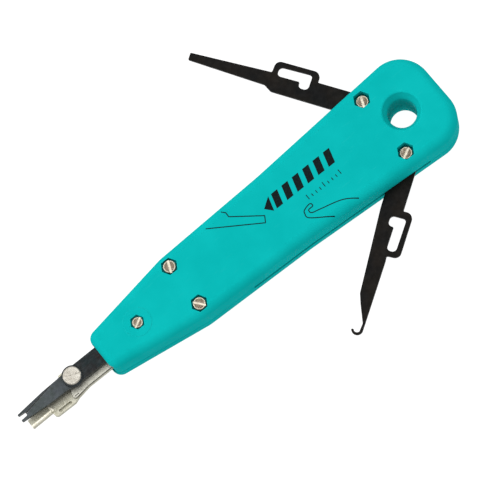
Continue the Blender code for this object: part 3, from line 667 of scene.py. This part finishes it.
def rear_shell():
    high = SPLIT_Z - SEAM_GAP / 2
    shell = blank_shell("rear_shell_fine", 0.0, high)
    cut(shell, plate("rear_hollow", [handle_outline(WALL)], SKIN, high + 1))
    washer_low = extent("hook_blade_washer")[0].z
    join(shell, cylinder("rear_tube", HANG_X, 0, HANG_TUBE, SKIN - 0.5, high))
    for spot in SCREWS:
        x, y, _ = middle(screw_nodes(spot)[0])
        is_pivot = not spot.startswith("body")
        boss_high, radius = (washer_low - 0.3, PIVOT_BOSS) if is_pivot else (high, 3.6)
        join(shell, cylinder(spot + "_rear_boss", x, y, radius, SKIN - 0.5, boss_high))
    join(shell, cylinder("rear_nose_boss", NOSE_SCREW_X, 0, 3.0, SKIN - 0.5, CHEEK_LOW - 0.3))
    join(shell, box("rear_saddle", (15.6, -6.0, SKIN - 0.5), (22.2, 6.0, 5.2)))
    join(shell, *rails("rear", SKIN - 0.5, high))
    cut(shell, *bays("rear", BLADE_LOW - 0.3, high + 1))
    opening = (NOSE_X - NOSE_OPENING_DEPTH, NOSE_OPENING_Y[0], CHEEK_LOW - 0.3)
    cut(shell, box("rear_opening", opening, (NOSE_X + 1, NOSE_OPENING_Y[1], high + 1)))
    anchor_low = (ANCHOR_LOW.x - 0.3, -5.1, ANCHOR_LOW.z - 0.3)
    cut(shell, box("rear_anchor_slot", anchor_low, (ANCHOR_HIGH.x + 0.3, 5.1, 6.0)))
    bore = [(0, -1), (HANG_BORE + 0.6, -1), (HANG_BORE + 0.6, -0.1), (HANG_BORE + 0.15, 0.15)]
    bore += [(HANG_BORE, 0.6), (HANG_BORE - BORE_STEP, 0.7), (HANG_BORE - BORE_STEP, high - 0.25)]
    bore += [(HANG_BORE + 0.1, high), (HANG_BORE + 0.1, high + 1), (0, high + 1)]
    cut(shell, turned("rear_bore", HANG_X, 0, bore, 128))
    for spot in SCREWS:
        x, y, _ = middle(screw_nodes(spot)[1])
        cut(shell, hexagon(spot + "_nut_pocket", x, y, HEX_FLATS, -1, NUT_POCKET_TOP, 0.1, 0.0))
        cut(shell, cylinder(spot + "_rear_hole", x, y, SCREW_R + PLAY, 1.8, high + 1, 32))
    cut(shell, hexagon("nose_nut_pocket", NOSE_SCREW_X, 0, NOSE_HEX_FLATS, -1, NUT_POCKET_TOP, 0.1, 0.0))
    cut(shell, cylinder("nose_rear_hole", NOSE_SCREW_X, 0, NOSE_SCREW_R + PLAY, 1.8, high + 1, 32))
    return finished(shell, TEAL, "handle", "teal_plastic", "rear_shell")


# Fasteners


def threads(radius, low, high):
    """Profile points of a threaded stretch, low to high."""
    points = []
    height = low
    while height + THREAD_PITCH < high:
        points += [(radius - THREAD_DEPTH, height), (radius, height + THREAD_PITCH / 2)]
        height += THREAD_PITCH
    return [*points, (radius - THREAD_DEPTH, height)]


def slotted_screw(node, radius, head_height, slot_turn):
    """A cheese-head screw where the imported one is, with a slot at this angle."""
    low, high = extent(node)
    x, y, _ = middle(node)
    head, top = (high.x - low.x) / 2, high.z
    under = top - head_height
    profile = [(0, low.z), (radius - 0.3, low.z), *threads(radius, low.z + 0.1, 6.2)]
    profile += [(radius - 0.05, 6.3), (radius - 0.05, under), (head - 0.08, under), (head, under + 0.1)]
    profile += [(head, top - 0.40), (head - 0.06, top - 0.16), (head - 0.22, top - 0.02)]
    profile += [(head - 0.34, top), (head - 0.48, top - 0.07), (head * 0.5, top - 0.06), (0, top - 0.05)]
    screw = turned(node + "_fine", x, y, profile, 64)
    reach = head + 1
    slot = box(
        node + "_slot",
        (-reach, -SLOT_HALF_WIDTH, top - SLOT_DEPTH),
        (reach, SLOT_HALF_WIDTH, top + 1),
    )
    slot.location = (x * MM, y * MM, 0)
    slot.rotation_euler.z = math.radians(slot_turn)
    cut(screw, slot)
    finished(screw, SCREW, "handle", "plated_screw", node)
    floor = (top - SLOT_DEPTH) * MM

    # The slot floor is worn bare. The pale ring on the chamfered rim is a painted highlight.
    def gets_bare_and_highlight(face):
        on_slot_floor = abs(face.center.z - floor) < 1e-6
        on_highlit_rim = face.center.z > top * MM - 0.2 * MM and 0.3 < face.normal.z < 0.995
        return on_slot_floor or on_highlit_rim

    paint(screw, SCREW_BARE_AND_HIGHLIGHT, gets_bare_and_highlight)


def hex_nut(node, flats, bore):
    """A hexagon nut with chamfered corners on both faces."""
    low, high = extent(node)
    x, y, _ = middle(node)
    nut = hexagon(node + "_fine", x, y, flats, low.z, high.z)
    inner, corner = flats / 2 - 0.05, flats / math.sqrt(3)
    slope = corner - inner
    cone = [(0, low.z), (inner, low.z), (inner + slope, low.z + 0.28), (inner + slope, high.z - 0.28)]
    turning = turned(node + "_turning", x, y, [*cone, (inner, high.z), (0, high.z)], 72)
    combine(nut, "INTERSECT", turning)
    bore_profile = [(0, -1), (bore + 0.35, -1), (bore + 0.35, low.z), (bore, low.z + 0.3)]
    bore_profile += [(bore, high.z + 1), (0, high.z + 1)]
    cut(nut, turned(node + "_bore", x, y, bore_profile, 48))
    return finished(nut, SCREW, "handle", "plated_screw", node)


def fasteners():
    turns = {"release_blade": 68, "hook_blade": 28, "body_left": 68, "body_right": -52}
    for spot, turn in turns.items():
        screw, nut = screw_nodes(spot)
        slotted_screw(screw, SCREW_R, SCREW_HEAD_H, turn)
        hex_nut(nut, NUT_FLATS, SCREW_R + PLAY)
    slotted_screw("nose_screw", NOSE_SCREW_R, NOSE_HEAD_H, 28)
    hex_nut("nose_nut", NOSE_NUT_FLATS, NOSE_SCREW_R + PLAY)


# Folding blades. Along a blade, u runs from the pivot to the tip, v to its outer side.

LOOP_OUTLINE = [(34.1, 2.8, 0.5), (33.9, 7.2, 2.2), (17.9, 7.4, 2.2), (17.9, 3.8, 0.4)]
FINGER_SLOT = [
    (32.2, 2.05, 1.5),
    (32.2, 5.35, 1.5),
    (20.3, 5.7, 1.2),
    (20.3, 0.1, 1.5),
    (23.9, 0.1, 1.5),
    (24.0, 2.2, 0.3),
]


def base_arc():
    """The round end about the pivot, from the inner side to the outer side."""
    steps = 30
    turns = [-math.pi / 2 - math.pi * step / steps for step in range(steps + 1)]
    return [(BLADE_BASE * math.cos(turn), BLADE_BASE * math.sin(turn), 0.0) for turn in turns]


def release_edge():
    """Square-ended blade: a narrow tongue that steps out to the full width."""
    tongue = [(BLADE_REACH, 1.3, 0.3), (BLADE_REACH, -1.3, 0.3), (35.2, -2.15, 1.0), (32.4, -3.8, 1.0)]
    return [*base_arc(), *reversed(LOOP_OUTLINE), *tongue]


def turned_point(centre, radius, degrees):
    turn = math.radians(degrees)
    return centre + Vector((math.cos(turn), math.sin(turn))) * radius


def hook_edge():
    """Tapering blade that ends in a hook curled towards its inner side."""
    centre = Vector((60.6, 0.5))
    outer, inner = 2.0, 1.15
    hook = [(*turned_point(centre, outer, degrees), 0.0) for degrees in range(90, -72, -6)]
    hook += [(*turned_point(centre, outer, -78), 0.3), (*turned_point(centre, inner, -78), 0.3)]
    hook += [(*turned_point(centre, inner, degrees), 0.0) for degrees in range(-60, 66, 7)]
    back = [(58.3, 1.75, 0.4), (52.3, -0.8, 2.0), (48.7, -2.1, 2.0), (18.7, -3.9, 4.0)]
    return [*base_arc(), *reversed(LOOP_OUTLINE), (36.0, 2.95, 0.6), *hook, *back]


def swung(points, x, y, degrees, side):
    """Blade outline points turned to their place. side is -1 where the outer side is -Y."""
    turn = math.radians(degrees)
    cos, sin = math.cos(turn), math.sin(turn)
    return [(x + u * cos - v * side * sin, y + u * sin + v * side * cos) for u, v in points]


def folding_blade(node, edge, degrees, side):
    x, y, _ = middle(node + "_screw")
    outlines = [rounded(edge), rounded(FINGER_SLOT), ring(0, 0, SCREW_R + PLAY)]
    placed = [swung(outline, x, y, degrees, side) for outline in outlines]
    blade = plate(node + "_fine", placed, BLADE_LOW, BLADE_HIGH, BLADE_EDGE, 2)
    return finished(blade, BLACK, node, "black_steel", node)


# Sliding head


def carriage_holes():
    travel_slot = long_slot(NOSE_SCREW_X, NOSE_SCREW_X + TRAVEL, 0, TRAVEL_SLOT_HALF)
    return [travel_slot, *[ring(x, 0, CARRIAGE_RIVET_R + PLAY, 32) for x in CARRIAGE_RIVETS]]


def sloped_box(name, start, end, width, drop):
    """A cutter whose underside starts at the line from start to end and falls by drop over width."""
    start, end = Vector(start), Vector(end)
    along = (end - start).normalized()
    outwards = (Vector((0, 0, 1)).cross(along) * width - Vector((0, 0, drop))).normalized()
    up = along.cross(outwards)
    cutter = box(name, (-2, -0.001, 0), ((end - start).length + 2, abs(width) + 3, 3))
    turn = Matrix((along, outwards, up)).transposed().to_4x4()
    cutter.matrix_world = Matrix.Translation(start * MM) @ turn
    return cutter


def scribe(name, start, end):
    """A cutter for a fine groove along a level line."""
    start, end = Vector(start), Vector(end)
    half, along = SCRIBE_WIDTH / 2, end - start
    cutter = box(name, (-2, -half, -SCRIBE_DEPTH), (along.length, half, 1))
    turn = Matrix.Rotation(math.atan2(along.y, along.x), 4, "Z")
    cutter.matrix_world = Matrix.Translation(start * MM) @ turn
    return cutter


def insertion_blade():
    """The front plate: a shank with the travel slot, the pivot boss, and the ground fork."""
    side = [
        (CARRIAGE_X, HEAD_HALF_WIDTH, 0.8),
        (RIVET_X, HEAD_HALF_WIDTH, 0.0),
        (RIVET_X + 5.0, 2.6, 8.0),
        (RIVET_X + 11.0, 2.45, 8.0),
        (TIP_X, 1.55, 0.25),
        (TIP_X, 0.8, 0.25),
        (TIP_X - FORK_DEPTH, 0.67, 0.4),
    ]
    edge = rounded(side + [(x, -y, radius) for x, y, radius in reversed(side)])
    blade = plate("insertion_blade_fine", [edge, *carriage_holes()], PLATE_LOW, PLATE_HIGH, 0.1, 2)
    top = PLATE_HIGH + BOSS_H
    boss = [(0, PLATE_HIGH - 1), (BOSS_R, PLATE_HIGH - 1), (BOSS_R, top - 0.2), (BOSS_R - 0.07, top - 0.06)]
    join(blade, turned("boss", RIVET_X, 0, [*boss, (BOSS_R - 0.22, top), (0, top)], 96))
    length = TIP_X - THIN_X
    relief = box("thin_relief", (0.0, -5.0, -4.0), (length + 2, 5.0, 0.0))
    relief.location = Vector((THIN_X, 0.0, THIN_Z)) * MM
    relief.rotation_euler.y = -math.atan(THIN_RISE / length)
    cut(blade, relief)
    cut(blade, sloped_box("facet", *FACET_LINE, 1.2, 0.2), scribe("facet_line", *FACET_LINE))
    cut(blade, cylinder("pivot_bore", RIVET_X, 0, PIN_R + PLAY, PLATE_LOW - 1, top + 1, 48))
    finished(blade, BLUED, "punch_head", "black_steel", "insertion_blade")
    # The scribed groove's floor gets the black steel: painted shade that makes the facet line read dark.
    shaded_groove_floor = (FACET_LINE[0][2] - SCRIBE_DEPTH) * MM
    paint(blade, BLACK, lambda face: abs(face.center.z - shaded_groove_floor) < 1e-6)


def rear_cheek():
    end = RIVET_X + 3.9
    edge = rounded([
        (CARRIAGE_X, -HEAD_HALF_WIDTH, 0.8),
        (end, -HEAD_HALF_WIDTH, 3.0),
        (end, HEAD_HALF_WIDTH, 3.0),
        (CARRIAGE_X, HEAD_HALF_WIDTH, 0.8),
    ])
    outlines = [edge, ring(RIVET_X, 0, PIN_R + PLAY), *carriage_holes()]
    cheek = plate("rear_cheek_fine", outlines, CHEEK_LOW, CHEEK_HIGH, 0.12, 2)
    return finished(cheek, BLACK, "punch_head", "black_steel", "rear_cheek")


def cutter_blade():
    """The scissor lever: cam tail, hub, slotted tab, and the blade with its turned-up lip."""
    edge = rounded([
        (54.9, 2.0, 0.4),
        (56.5, 1.35, 0.0),
        (61.6, -0.85, 1.0),
        (79.2, -1.05, 1.5),
        (81.0, -3.0, 1.2),
        (85.8, -3.0, 0.3),
        (86.0, -4.5, 0.3),
        (87.8, -4.5, 0.4),
        (88.4, -2.6, 0.5),
        (89.8, 0.0, 1.2),
        (104.9, 1.0, 0.2),
        (104.9, 4.45, 0.2),
        (96.7, 4.35, 0.3),
        (96.5, 6.5, 1.2),
        (88.6, 6.6, 1.0),
        (86.6, 5.9, 1.5),
        (81.6, 5.08, 4.0),
        (NOSE_X, 5.1, 2.0),
        (68.5, 4.55, 2.0),
        (54.9, 4.3, 1.0),
    ])
    pin_hole = ring(LOCK_PIN.x, LOCK_PIN.y, 0.6 + PLAY, 24)
    blade = plate("cutter_blade_fine", [edge, pin_hole], CUTTER_LOW, CUTTER_HIGH, 0.12, 2)
    lip = rounded([(96.3, 3.45, 0.3), (104.75, 3.5, 0.15), (104.75, 4.33, 0.15), (96.8, 4.25, 0.3)])
    rib = rounded([
        (95.8, 3.1, 0.3),
        (96.8, 1.2, 0.3),
        (97.6, 1.45, 0.3),
        (96.8, 3.3, 0.3),
        (96.6, 4.3, 0.3),
        (95.6, 4.3, 0.3),
    ])
    join(blade, plate("rib", [rib], CUTTER_HIGH - 0.3, CUTTER_HIGH + 0.9, 0.2, 3))
    join(blade, plate("lip", [lip], CUTTER_HIGH - 0.6, LOCK_HIGH, 0.14, 3))
    join(blade, cylinder("hub", RIVET_X, 0, 2.1, CUTTER_HIGH - 0.5, PLATE_LOW - 0.3))
    floor_edge = rounded([
        (97.3, 0.0, 0.3),
        (106.0, 0.0, 0.3),
        (106.0, 3.5, 0.3),
        (97.0, 3.45, 0.9),
        (96.9, 2.0, 0.9),
    ])
    cut(blade, plate("blade_floor", [floor_edge], CUTTER_HIGH - 0.45, CUTTER_HIGH + 3))
    cut(blade, cylinder("cutter_bore", RIVET_X, 0, PIN_R + PLAY, CUTTER_LOW - 1, PLATE_LOW, 48))
    grip_slot = [long_slot(90.0, 94.1, 5.5, 0.58)]
    cut(blade, plate("grip_slot", grip_slot, CUTTER_LOW + 0.5, CUTTER_HIGH + 1))
    finished(blade, NICKEL, "cutter", "nickel", "cutter_blade")
    # Painted light: the raised rib and lip tops behind the hub take the much paler nickel, though the blade above
    # shades them.
    raised, behind_hub = (CUTTER_HIGH + 0.1) * MM, (RIVET_X + 5.0) * MM
    paint(blade, PAINTED_LIGHT_NICKEL, lambda face: face.center.z > raised and face.center.x > behind_hub)


def cutter_lock():
    """A strip that slides along the cutter, its guide slot milled from underneath."""
    edge = rounded([
        (70.4, 2.4, 0.4),
        (87.5, 2.4, 1.5),
        (88.3, 5.85, 0.9),
        (81.6, 4.98, 4.0),
        (70.4, 5.0, 0.4),
    ])
    strip = plate("cutter_lock_fine", [edge], LOCK_LOW, LOCK_HIGH, 0.2, 3)
    guide = long_slot(LOCK_PIN.x - 3.0, LOCK_PIN.x, LOCK_PIN.y, 0.75)
    cut(strip, plate("lock_guide", [guide], LOCK_LOW - 1, LOCK_HIGH - LOCK_SKIN))
    shaded_mark_floor = LOCK_HIGH - 0.5
    cut(strip, box("lock_mark", (85.7, 4.88, shaded_mark_floor), (87.5, 5.18, LOCK_HIGH + 1)))
    finished(strip, PALE_NICKEL, "cutter_lock", "nickel", "cutter_lock")
    # The notch's floor gets the black steel: painted shade that makes the dash read dark.
    paint(strip, BLACK, lambda face: abs(face.center.z - shaded_mark_floor * MM) < 1e-6)


def cutter_pivot():
    low, high = extent("cutter_pivot_screw")
    top = high.z
    under = top - 0.8
    profile = [(0, low.z), (PIN_R - 0.25, low.z), *threads(PIN_R, low.z + 0.1, CHEEK_LOW)]
    profile += [(PIN_R, CHEEK_LOW + 0.1), (PIN_R, under), (3.02, under), (3.1, under + 0.08)]
    profile += [(3.1, top - 0.26), (3.02, top - 0.1), (2.86, top - 0.02), (2.6, top), (0, top)]
    screw = turned("cutter_pivot_screw_fine", RIVET_X, 0, profile, 96)
    slot = box("pivot_slot", (-4, -0.3, top - 0.22), (4, 0.3, top + 1))
    slot.location = (RIVET_X * MM, 0, 0)
    slot.rotation_euler.z = math.radians(-22)
    cut(screw, slot)
    finished(screw, BRIGHT, "punch_head", "nickel", "cutter_pivot_screw")
    nut_low, nut_high = extent("cutter_pivot_nut")
    low_z, high_z = nut_low.z, nut_high.z
    rim = [(1.95, low_z), (2.65, low_z), (2.82, low_z + 0.07), (2.9, low_z + 0.25), (2.9, high_z)]
    rim += [(PIN_R + PLAY, high_z), (PIN_R + PLAY, low_z + 0.3)]
    nut = turned("cutter_pivot_nut_fine", RIVET_X, 0, rim, 96, ring_shaped=True)
    finished(nut, BRIGHT, "punch_head", "nickel", "cutter_pivot_nut")


def main_spring():
    """A wire helix round the rod, its axis along X, with its end coils closed."""
    low, high = extent("main_spring")
    wire = 0.4
    centre = (low + high) / 2
    radius = (high.y - low.y) / 2 - wire
    turns, steps_per_turn = 10, 40
    count = turns * steps_per_turn
    curve = bpy.data.curves.new("main_spring_fine", "CURVE")
    curve.dimensions = "3D"
    curve.bevel_depth = wire * MM
    curve.bevel_resolution = 4
    curve.use_fill_caps = True
    spline = curve.splines.new("POLY")
    spline.points.add(count)
    start, end = low.x + wire, high.x - wire
    for step, point in enumerate(spline.points):
        turn = math.tau * step / steps_per_turn
        share = step / count
        eased = share + 0.09 * math.sin(math.tau * share) / math.tau * -6
        x = start + (end - start) * min(max(eased, 0.0), 1.0)
        point.co = (x * MM, (centre.y + radius * math.cos(turn)) * MM, 0, 1)
        point.co.z = (centre.z + radius * math.sin(turn)) * MM
    guide = bpy.data.objects.new("main_spring_guide", curve)
    bpy.context.scene.collection.objects.link(guide)
    spring = place_mesh("main_spring_fine", mesh_of(guide))
    return finished(spring, SPRING, "punch_head", "spring_steel", "main_spring")


CARRIED_OVER = {
    "carriage_block": ACETAL,
    "carriage_rivet_inner": STEEL,
    "carriage_rivet_outer": STEEL,
    "cutter_return_spring": SPRING,
    "spring_rod": STEEL,
    "spring_anchor": STEEL,
    "lock_pin": STEEL,
    "release_blade_washer": SPRING,
    "hook_blade_washer": SPRING,
}


def carried_over():
    """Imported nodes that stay: a finish for each, and edges broken by a small bevel."""
    for node, material in CARRIED_OVER.items():
        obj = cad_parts[node]
        obj.data.materials.clear()
        obj.data.materials.append(material)
        bevel = obj.modifiers.new("edge", "BEVEL")
        bevel.width = 0.08 * MM
        bevel.segments = 2
        bevel.limit_method = "ANGLE"
        bevel.angle_limit = SHARP_ANGLE
        bevel.harden_normals = True


# Printing on the front face


def catmull(points, steps=10):
    """A smooth line through the points."""
    ends = [points[0], *points, points[-1]]
    line = []
    for a, b, c, d in zip(ends, ends[1:], ends[2:], ends[3:]):
        a, b, c, d = Vector(a), Vector(b), Vector(c), Vector(d)
        for step in range(steps):
            t = step / steps
            line.append(
                b + (c - a) * (t / 2)
                + (2 * a - 5 * b + 4 * c - d) * (t * t / 2)
                + (3 * b - a - 3 * c + d) * (t ** 3 / 2)
            )
    return [*line, Vector(points[-1])]


INK_HEIGHT = 0.02
INK_STEP = 0.25


def ink_line(name, points, width, is_closed=False):
    """A low ridge of ink along a line on the front face."""
    curve = bpy.data.curves.new(name, "CURVE")
    curve.dimensions = "3D"
    curve.bevel_depth = width / 2 * MM
    curve.bevel_resolution = 2
    curve.use_fill_caps = True
    spline = curve.splines.new("POLY")
    spline.points.add(len(points) - 1)
    for point, (x, y) in zip(spline.points, points):
        point.co = (x * MM, y * MM, 0, 1)
    spline.use_cyclic_u = is_closed
    guide = bpy.data.objects.new(name + "_guide", curve)
    bpy.context.scene.collection.objects.link(guide)
    guide.location.z = THICKNESS * MM
    guide.scale.z = INK_HEIGHT / (width / 2)
    bpy.context.view_layer.update()
    return place_mesh(name, mesh_of(guide, joins_flats=False))


def ink_patch(name, outline):
    return plate(name, [outline], THICKNESS - INK_HEIGHT, THICKNESS + INK_HEIGHT)


def merged(name, objects):
    """The objects' meshes as one piece."""
    shape = bmesh.new()
    bpy.context.view_layer.update()
    for obj in objects:
        mesh = obj.data.copy()
        mesh.transform(obj.matrix_world)
        shape.from_mesh(mesh)
        bpy.data.objects.remove(obj, do_unlink=True)
    mesh = bpy.data.meshes.new(name)
    shape.to_mesh(mesh)
    shape.free()
    return place_mesh(name, mesh)


PICTOGRAM_LINE = 0.36
TONGUE_PICTOGRAM = [(11.2, -11.8), (10.1, -10.4), (10.2, -8.7), (0.7, -1.2), (2.0, 0.9), (18.7, -10.4)]
HOOK_PICTOGRAM = [
    (-27.2, 14.2),
    (-22.4, 11.1),
    (-15.1, 9.0),
    (-12.0, 8.1),
    (-11.8, 6.7),
    (-13.7, 6.5),
    (-13.4, 5.3),
    (-10.8, 5.8),
    (-10.0, 6.9),
    (-10.4, 9.1),
    (-17.2, 13.9),
]
BAND_X, BAND_Y = (0.2, -28.8), (-0.5, -5.7)
BAND_LEAN = -1.5
BAR_COUNT, BAR_WIDTH = 6, 2.6
ARROW_LENGTH = 4.2
TICK_X, TICK_Y = (-14.3, -27.9), 4.0
TICK_LONG, TICK_SHORT, TICK_COUNT = 1.9, 1.1, 9


def band_point(along, across):
    """A point of the printed band: along from its end by the nose, across from 0 to 1."""
    return BAND_X[0] - along + BAND_LEAN * across, BAND_Y[0] + (BAND_Y[1] - BAND_Y[0]) * across


def printed_band():
    """Slanted bars behind an arrowhead, and a row of ticks: plain ornaments, with no lettering."""
    marks = []
    length = BAND_X[0] - BAND_X[1]
    pitch = (length - ARROW_LENGTH - BAR_WIDTH) / (BAR_COUNT - 1)
    for index in range(BAR_COUNT):
        near = ARROW_LENGTH + pitch * index
        far = near + BAR_WIDTH
        corners = [(near, 0), (far, 0), (far, 1), (near, 1)]
        marks.append(ink_patch(f"bar_{index}", [band_point(*corner) for corner in corners]))
    arrow = [(ARROW_LENGTH - 1.2, 0), (ARROW_LENGTH - 1.2, 1), (0, 0.5)]
    marks.append(ink_patch("arrow", [band_point(*corner) for corner in arrow]))
    for index in range(TICK_COUNT):
        x = TICK_X[0] + (TICK_X[1] - TICK_X[0]) * index / (TICK_COUNT - 1)
        length = TICK_SHORT if index % 4 else TICK_LONG
        marks.append(ink_line(f"tick_{index}", [(x, TICK_Y), (x, TICK_Y - length)], 0.3))
    return finished(merged("printed_band", marks), INK, "handle", "teal_plastic")


def close_set(points):
    """The same line with a corner at least every INK_STEP."""
    line = [Vector(points[0])]
    for start, end in zip(map(Vector, points), map(Vector, points[1:])):
        count = math.ceil((end - start).length / INK_STEP)
        line += [start.lerp(end, step / count) for step in range(1, count + 1)]
    return line


def drape(obj):
    """Lowers the ink onto the shell where the rim of the front face rounds off."""
    shell = bpy.data.objects["front_shell_fine"]
    surface = BVHTree.FromObject(shell, bpy.context.evaluated_depsgraph_get())
    for corner in obj.data.vertices:
        above = Vector((corner.co.x, corner.co.y, 2 * THICKNESS * MM))
        spot = surface.ray_cast(above, Vector((0, 0, -1)))[0]
        corner.co.z += spot.z - THICKNESS * MM
    return obj


def printed_pictograms():
    tongue = ink_line("tongue_pictogram", close_set(TONGUE_PICTOGRAM), PICTOGRAM_LINE)
    hook = ink_line("hook_pictogram", close_set(catmull(HOOK_PICTOGRAM)), PICTOGRAM_LINE)
    ink = drape(merged("printed_pictograms", [tongue, hook]))
    return finished(ink, INK, "handle", "teal_plastic")


# Stage


def camera():
    """A long lens about a metre away, tilted a little towards the hook blade's side."""
    right = Vector((-0.77982, 0.61290, -0.12738))
    up = Vector((-0.62377, -0.74363, 0.24068))
    back = Vector((0.05279, 0.26715, 0.96221))
    aim = Vector((12.0, 0.0, 8.0))
    place = aim + back * 1000 - right * 1.299 + up * 2.005
    data = bpy.data.cameras.new("camera")
    data.sensor_width = 36
    data.lens = 223.6
    obj = bpy.data.objects.new("camera", data)
    bpy.context.scene.collection.objects.link(obj)
    turn = Matrix((right, up, back)).transposed().to_4x4()
    obj.matrix_world = Matrix.Translation(place * MM) @ turn
    bpy.context.scene.camera = obj


def floor():
    """A pale table top that gives off some light of its own, so that shadows on it stay faint."""
    shape = bmesh.new()
    bmesh.ops.create_circle(shape, cap_ends=True, segments=96, radius=3.0)
    mesh = bpy.data.meshes.new("floor")
    shape.to_mesh(mesh)
    shape.free()
    obj = place_mesh("floor", mesh)
    obj.location.z = -0.00005
    finish = Finish("floor_finish", specular=0.1)
    finish.shader.inputs["Emission Color"].default_value = (1.0, 1.0, 1.0, 1.0)
    finish.shader.inputs["Emission Strength"].default_value = 0.96
    mottle = finish.mix(finish.noise(40.0), (0.16, 0.16, 0.16), (0.19, 0.19, 0.19))
    mesh.materials.append(finish.set(mottle, 0.7))
    obj.visible_diffuse = False
    obj.visible_glossy = False


def area_light(name, place, size, power, aim=(0.0, 0.0, 0.0)):
    data = bpy.data.lights.new(name, "AREA")
    data.shape = "DISK"
    data.size = size
    data.energy = power
    obj = bpy.data.objects.new(name, data)
    bpy.context.scene.collection.objects.link(obj)
    obj.location = place
    obj.rotation_euler = (Vector(aim) - Vector(place)).to_track_quat("-Z", "Y").to_euler()


def lights():
    """An even white room, dimmer from below, with a soft key past the nose and a wide overhead."""
    world = bpy.data.worlds.new("studio")
    bpy.context.scene.world = world
    world.use_nodes = True
    nodes, links = world.node_tree.nodes, world.node_tree.links
    split = nodes.new("ShaderNodeSeparateXYZ")
    spread = nodes.new("ShaderNodeMapRange")
    spread.inputs["From Min"].default_value = -0.15
    spread.inputs["From Max"].default_value = 0.45
    spread.inputs["To Min"].default_value = 0.88
    spread.inputs["To Max"].default_value = 0.60
    links.new(nodes.new("ShaderNodeTexCoord").outputs["Generated"], split.inputs["Vector"])
    links.new(split.outputs["Z"], spread.inputs["Value"])
    links.new(spread.outputs["Result"], nodes["Background"].inputs["Strength"])
    nodes["Background"].inputs["Color"].default_value = (1.0, 1.0, 1.0, 1.0)
    area_light("key", (1.15, -0.75, 1.05), 0.9, 9.0)
    area_light("overhead", (-0.15, -0.35, 1.7), 1.4, 10.5)
    bpy.context.scene.view_settings.view_transform = "Standard"


camera()
floor()
lights()
front_shell()
rear_shell()
fasteners()
folding_blade("release_blade", release_edge(), RELEASE_ANGLE, -1)
folding_blade("hook_blade", hook_edge(), HOOK_ANGLE, 1)
insertion_blade()
rear_cheek()
cutter_blade()
cutter_lock()
cutter_pivot()
main_spring()
carried_over()
printed_band()
printed_pictograms()
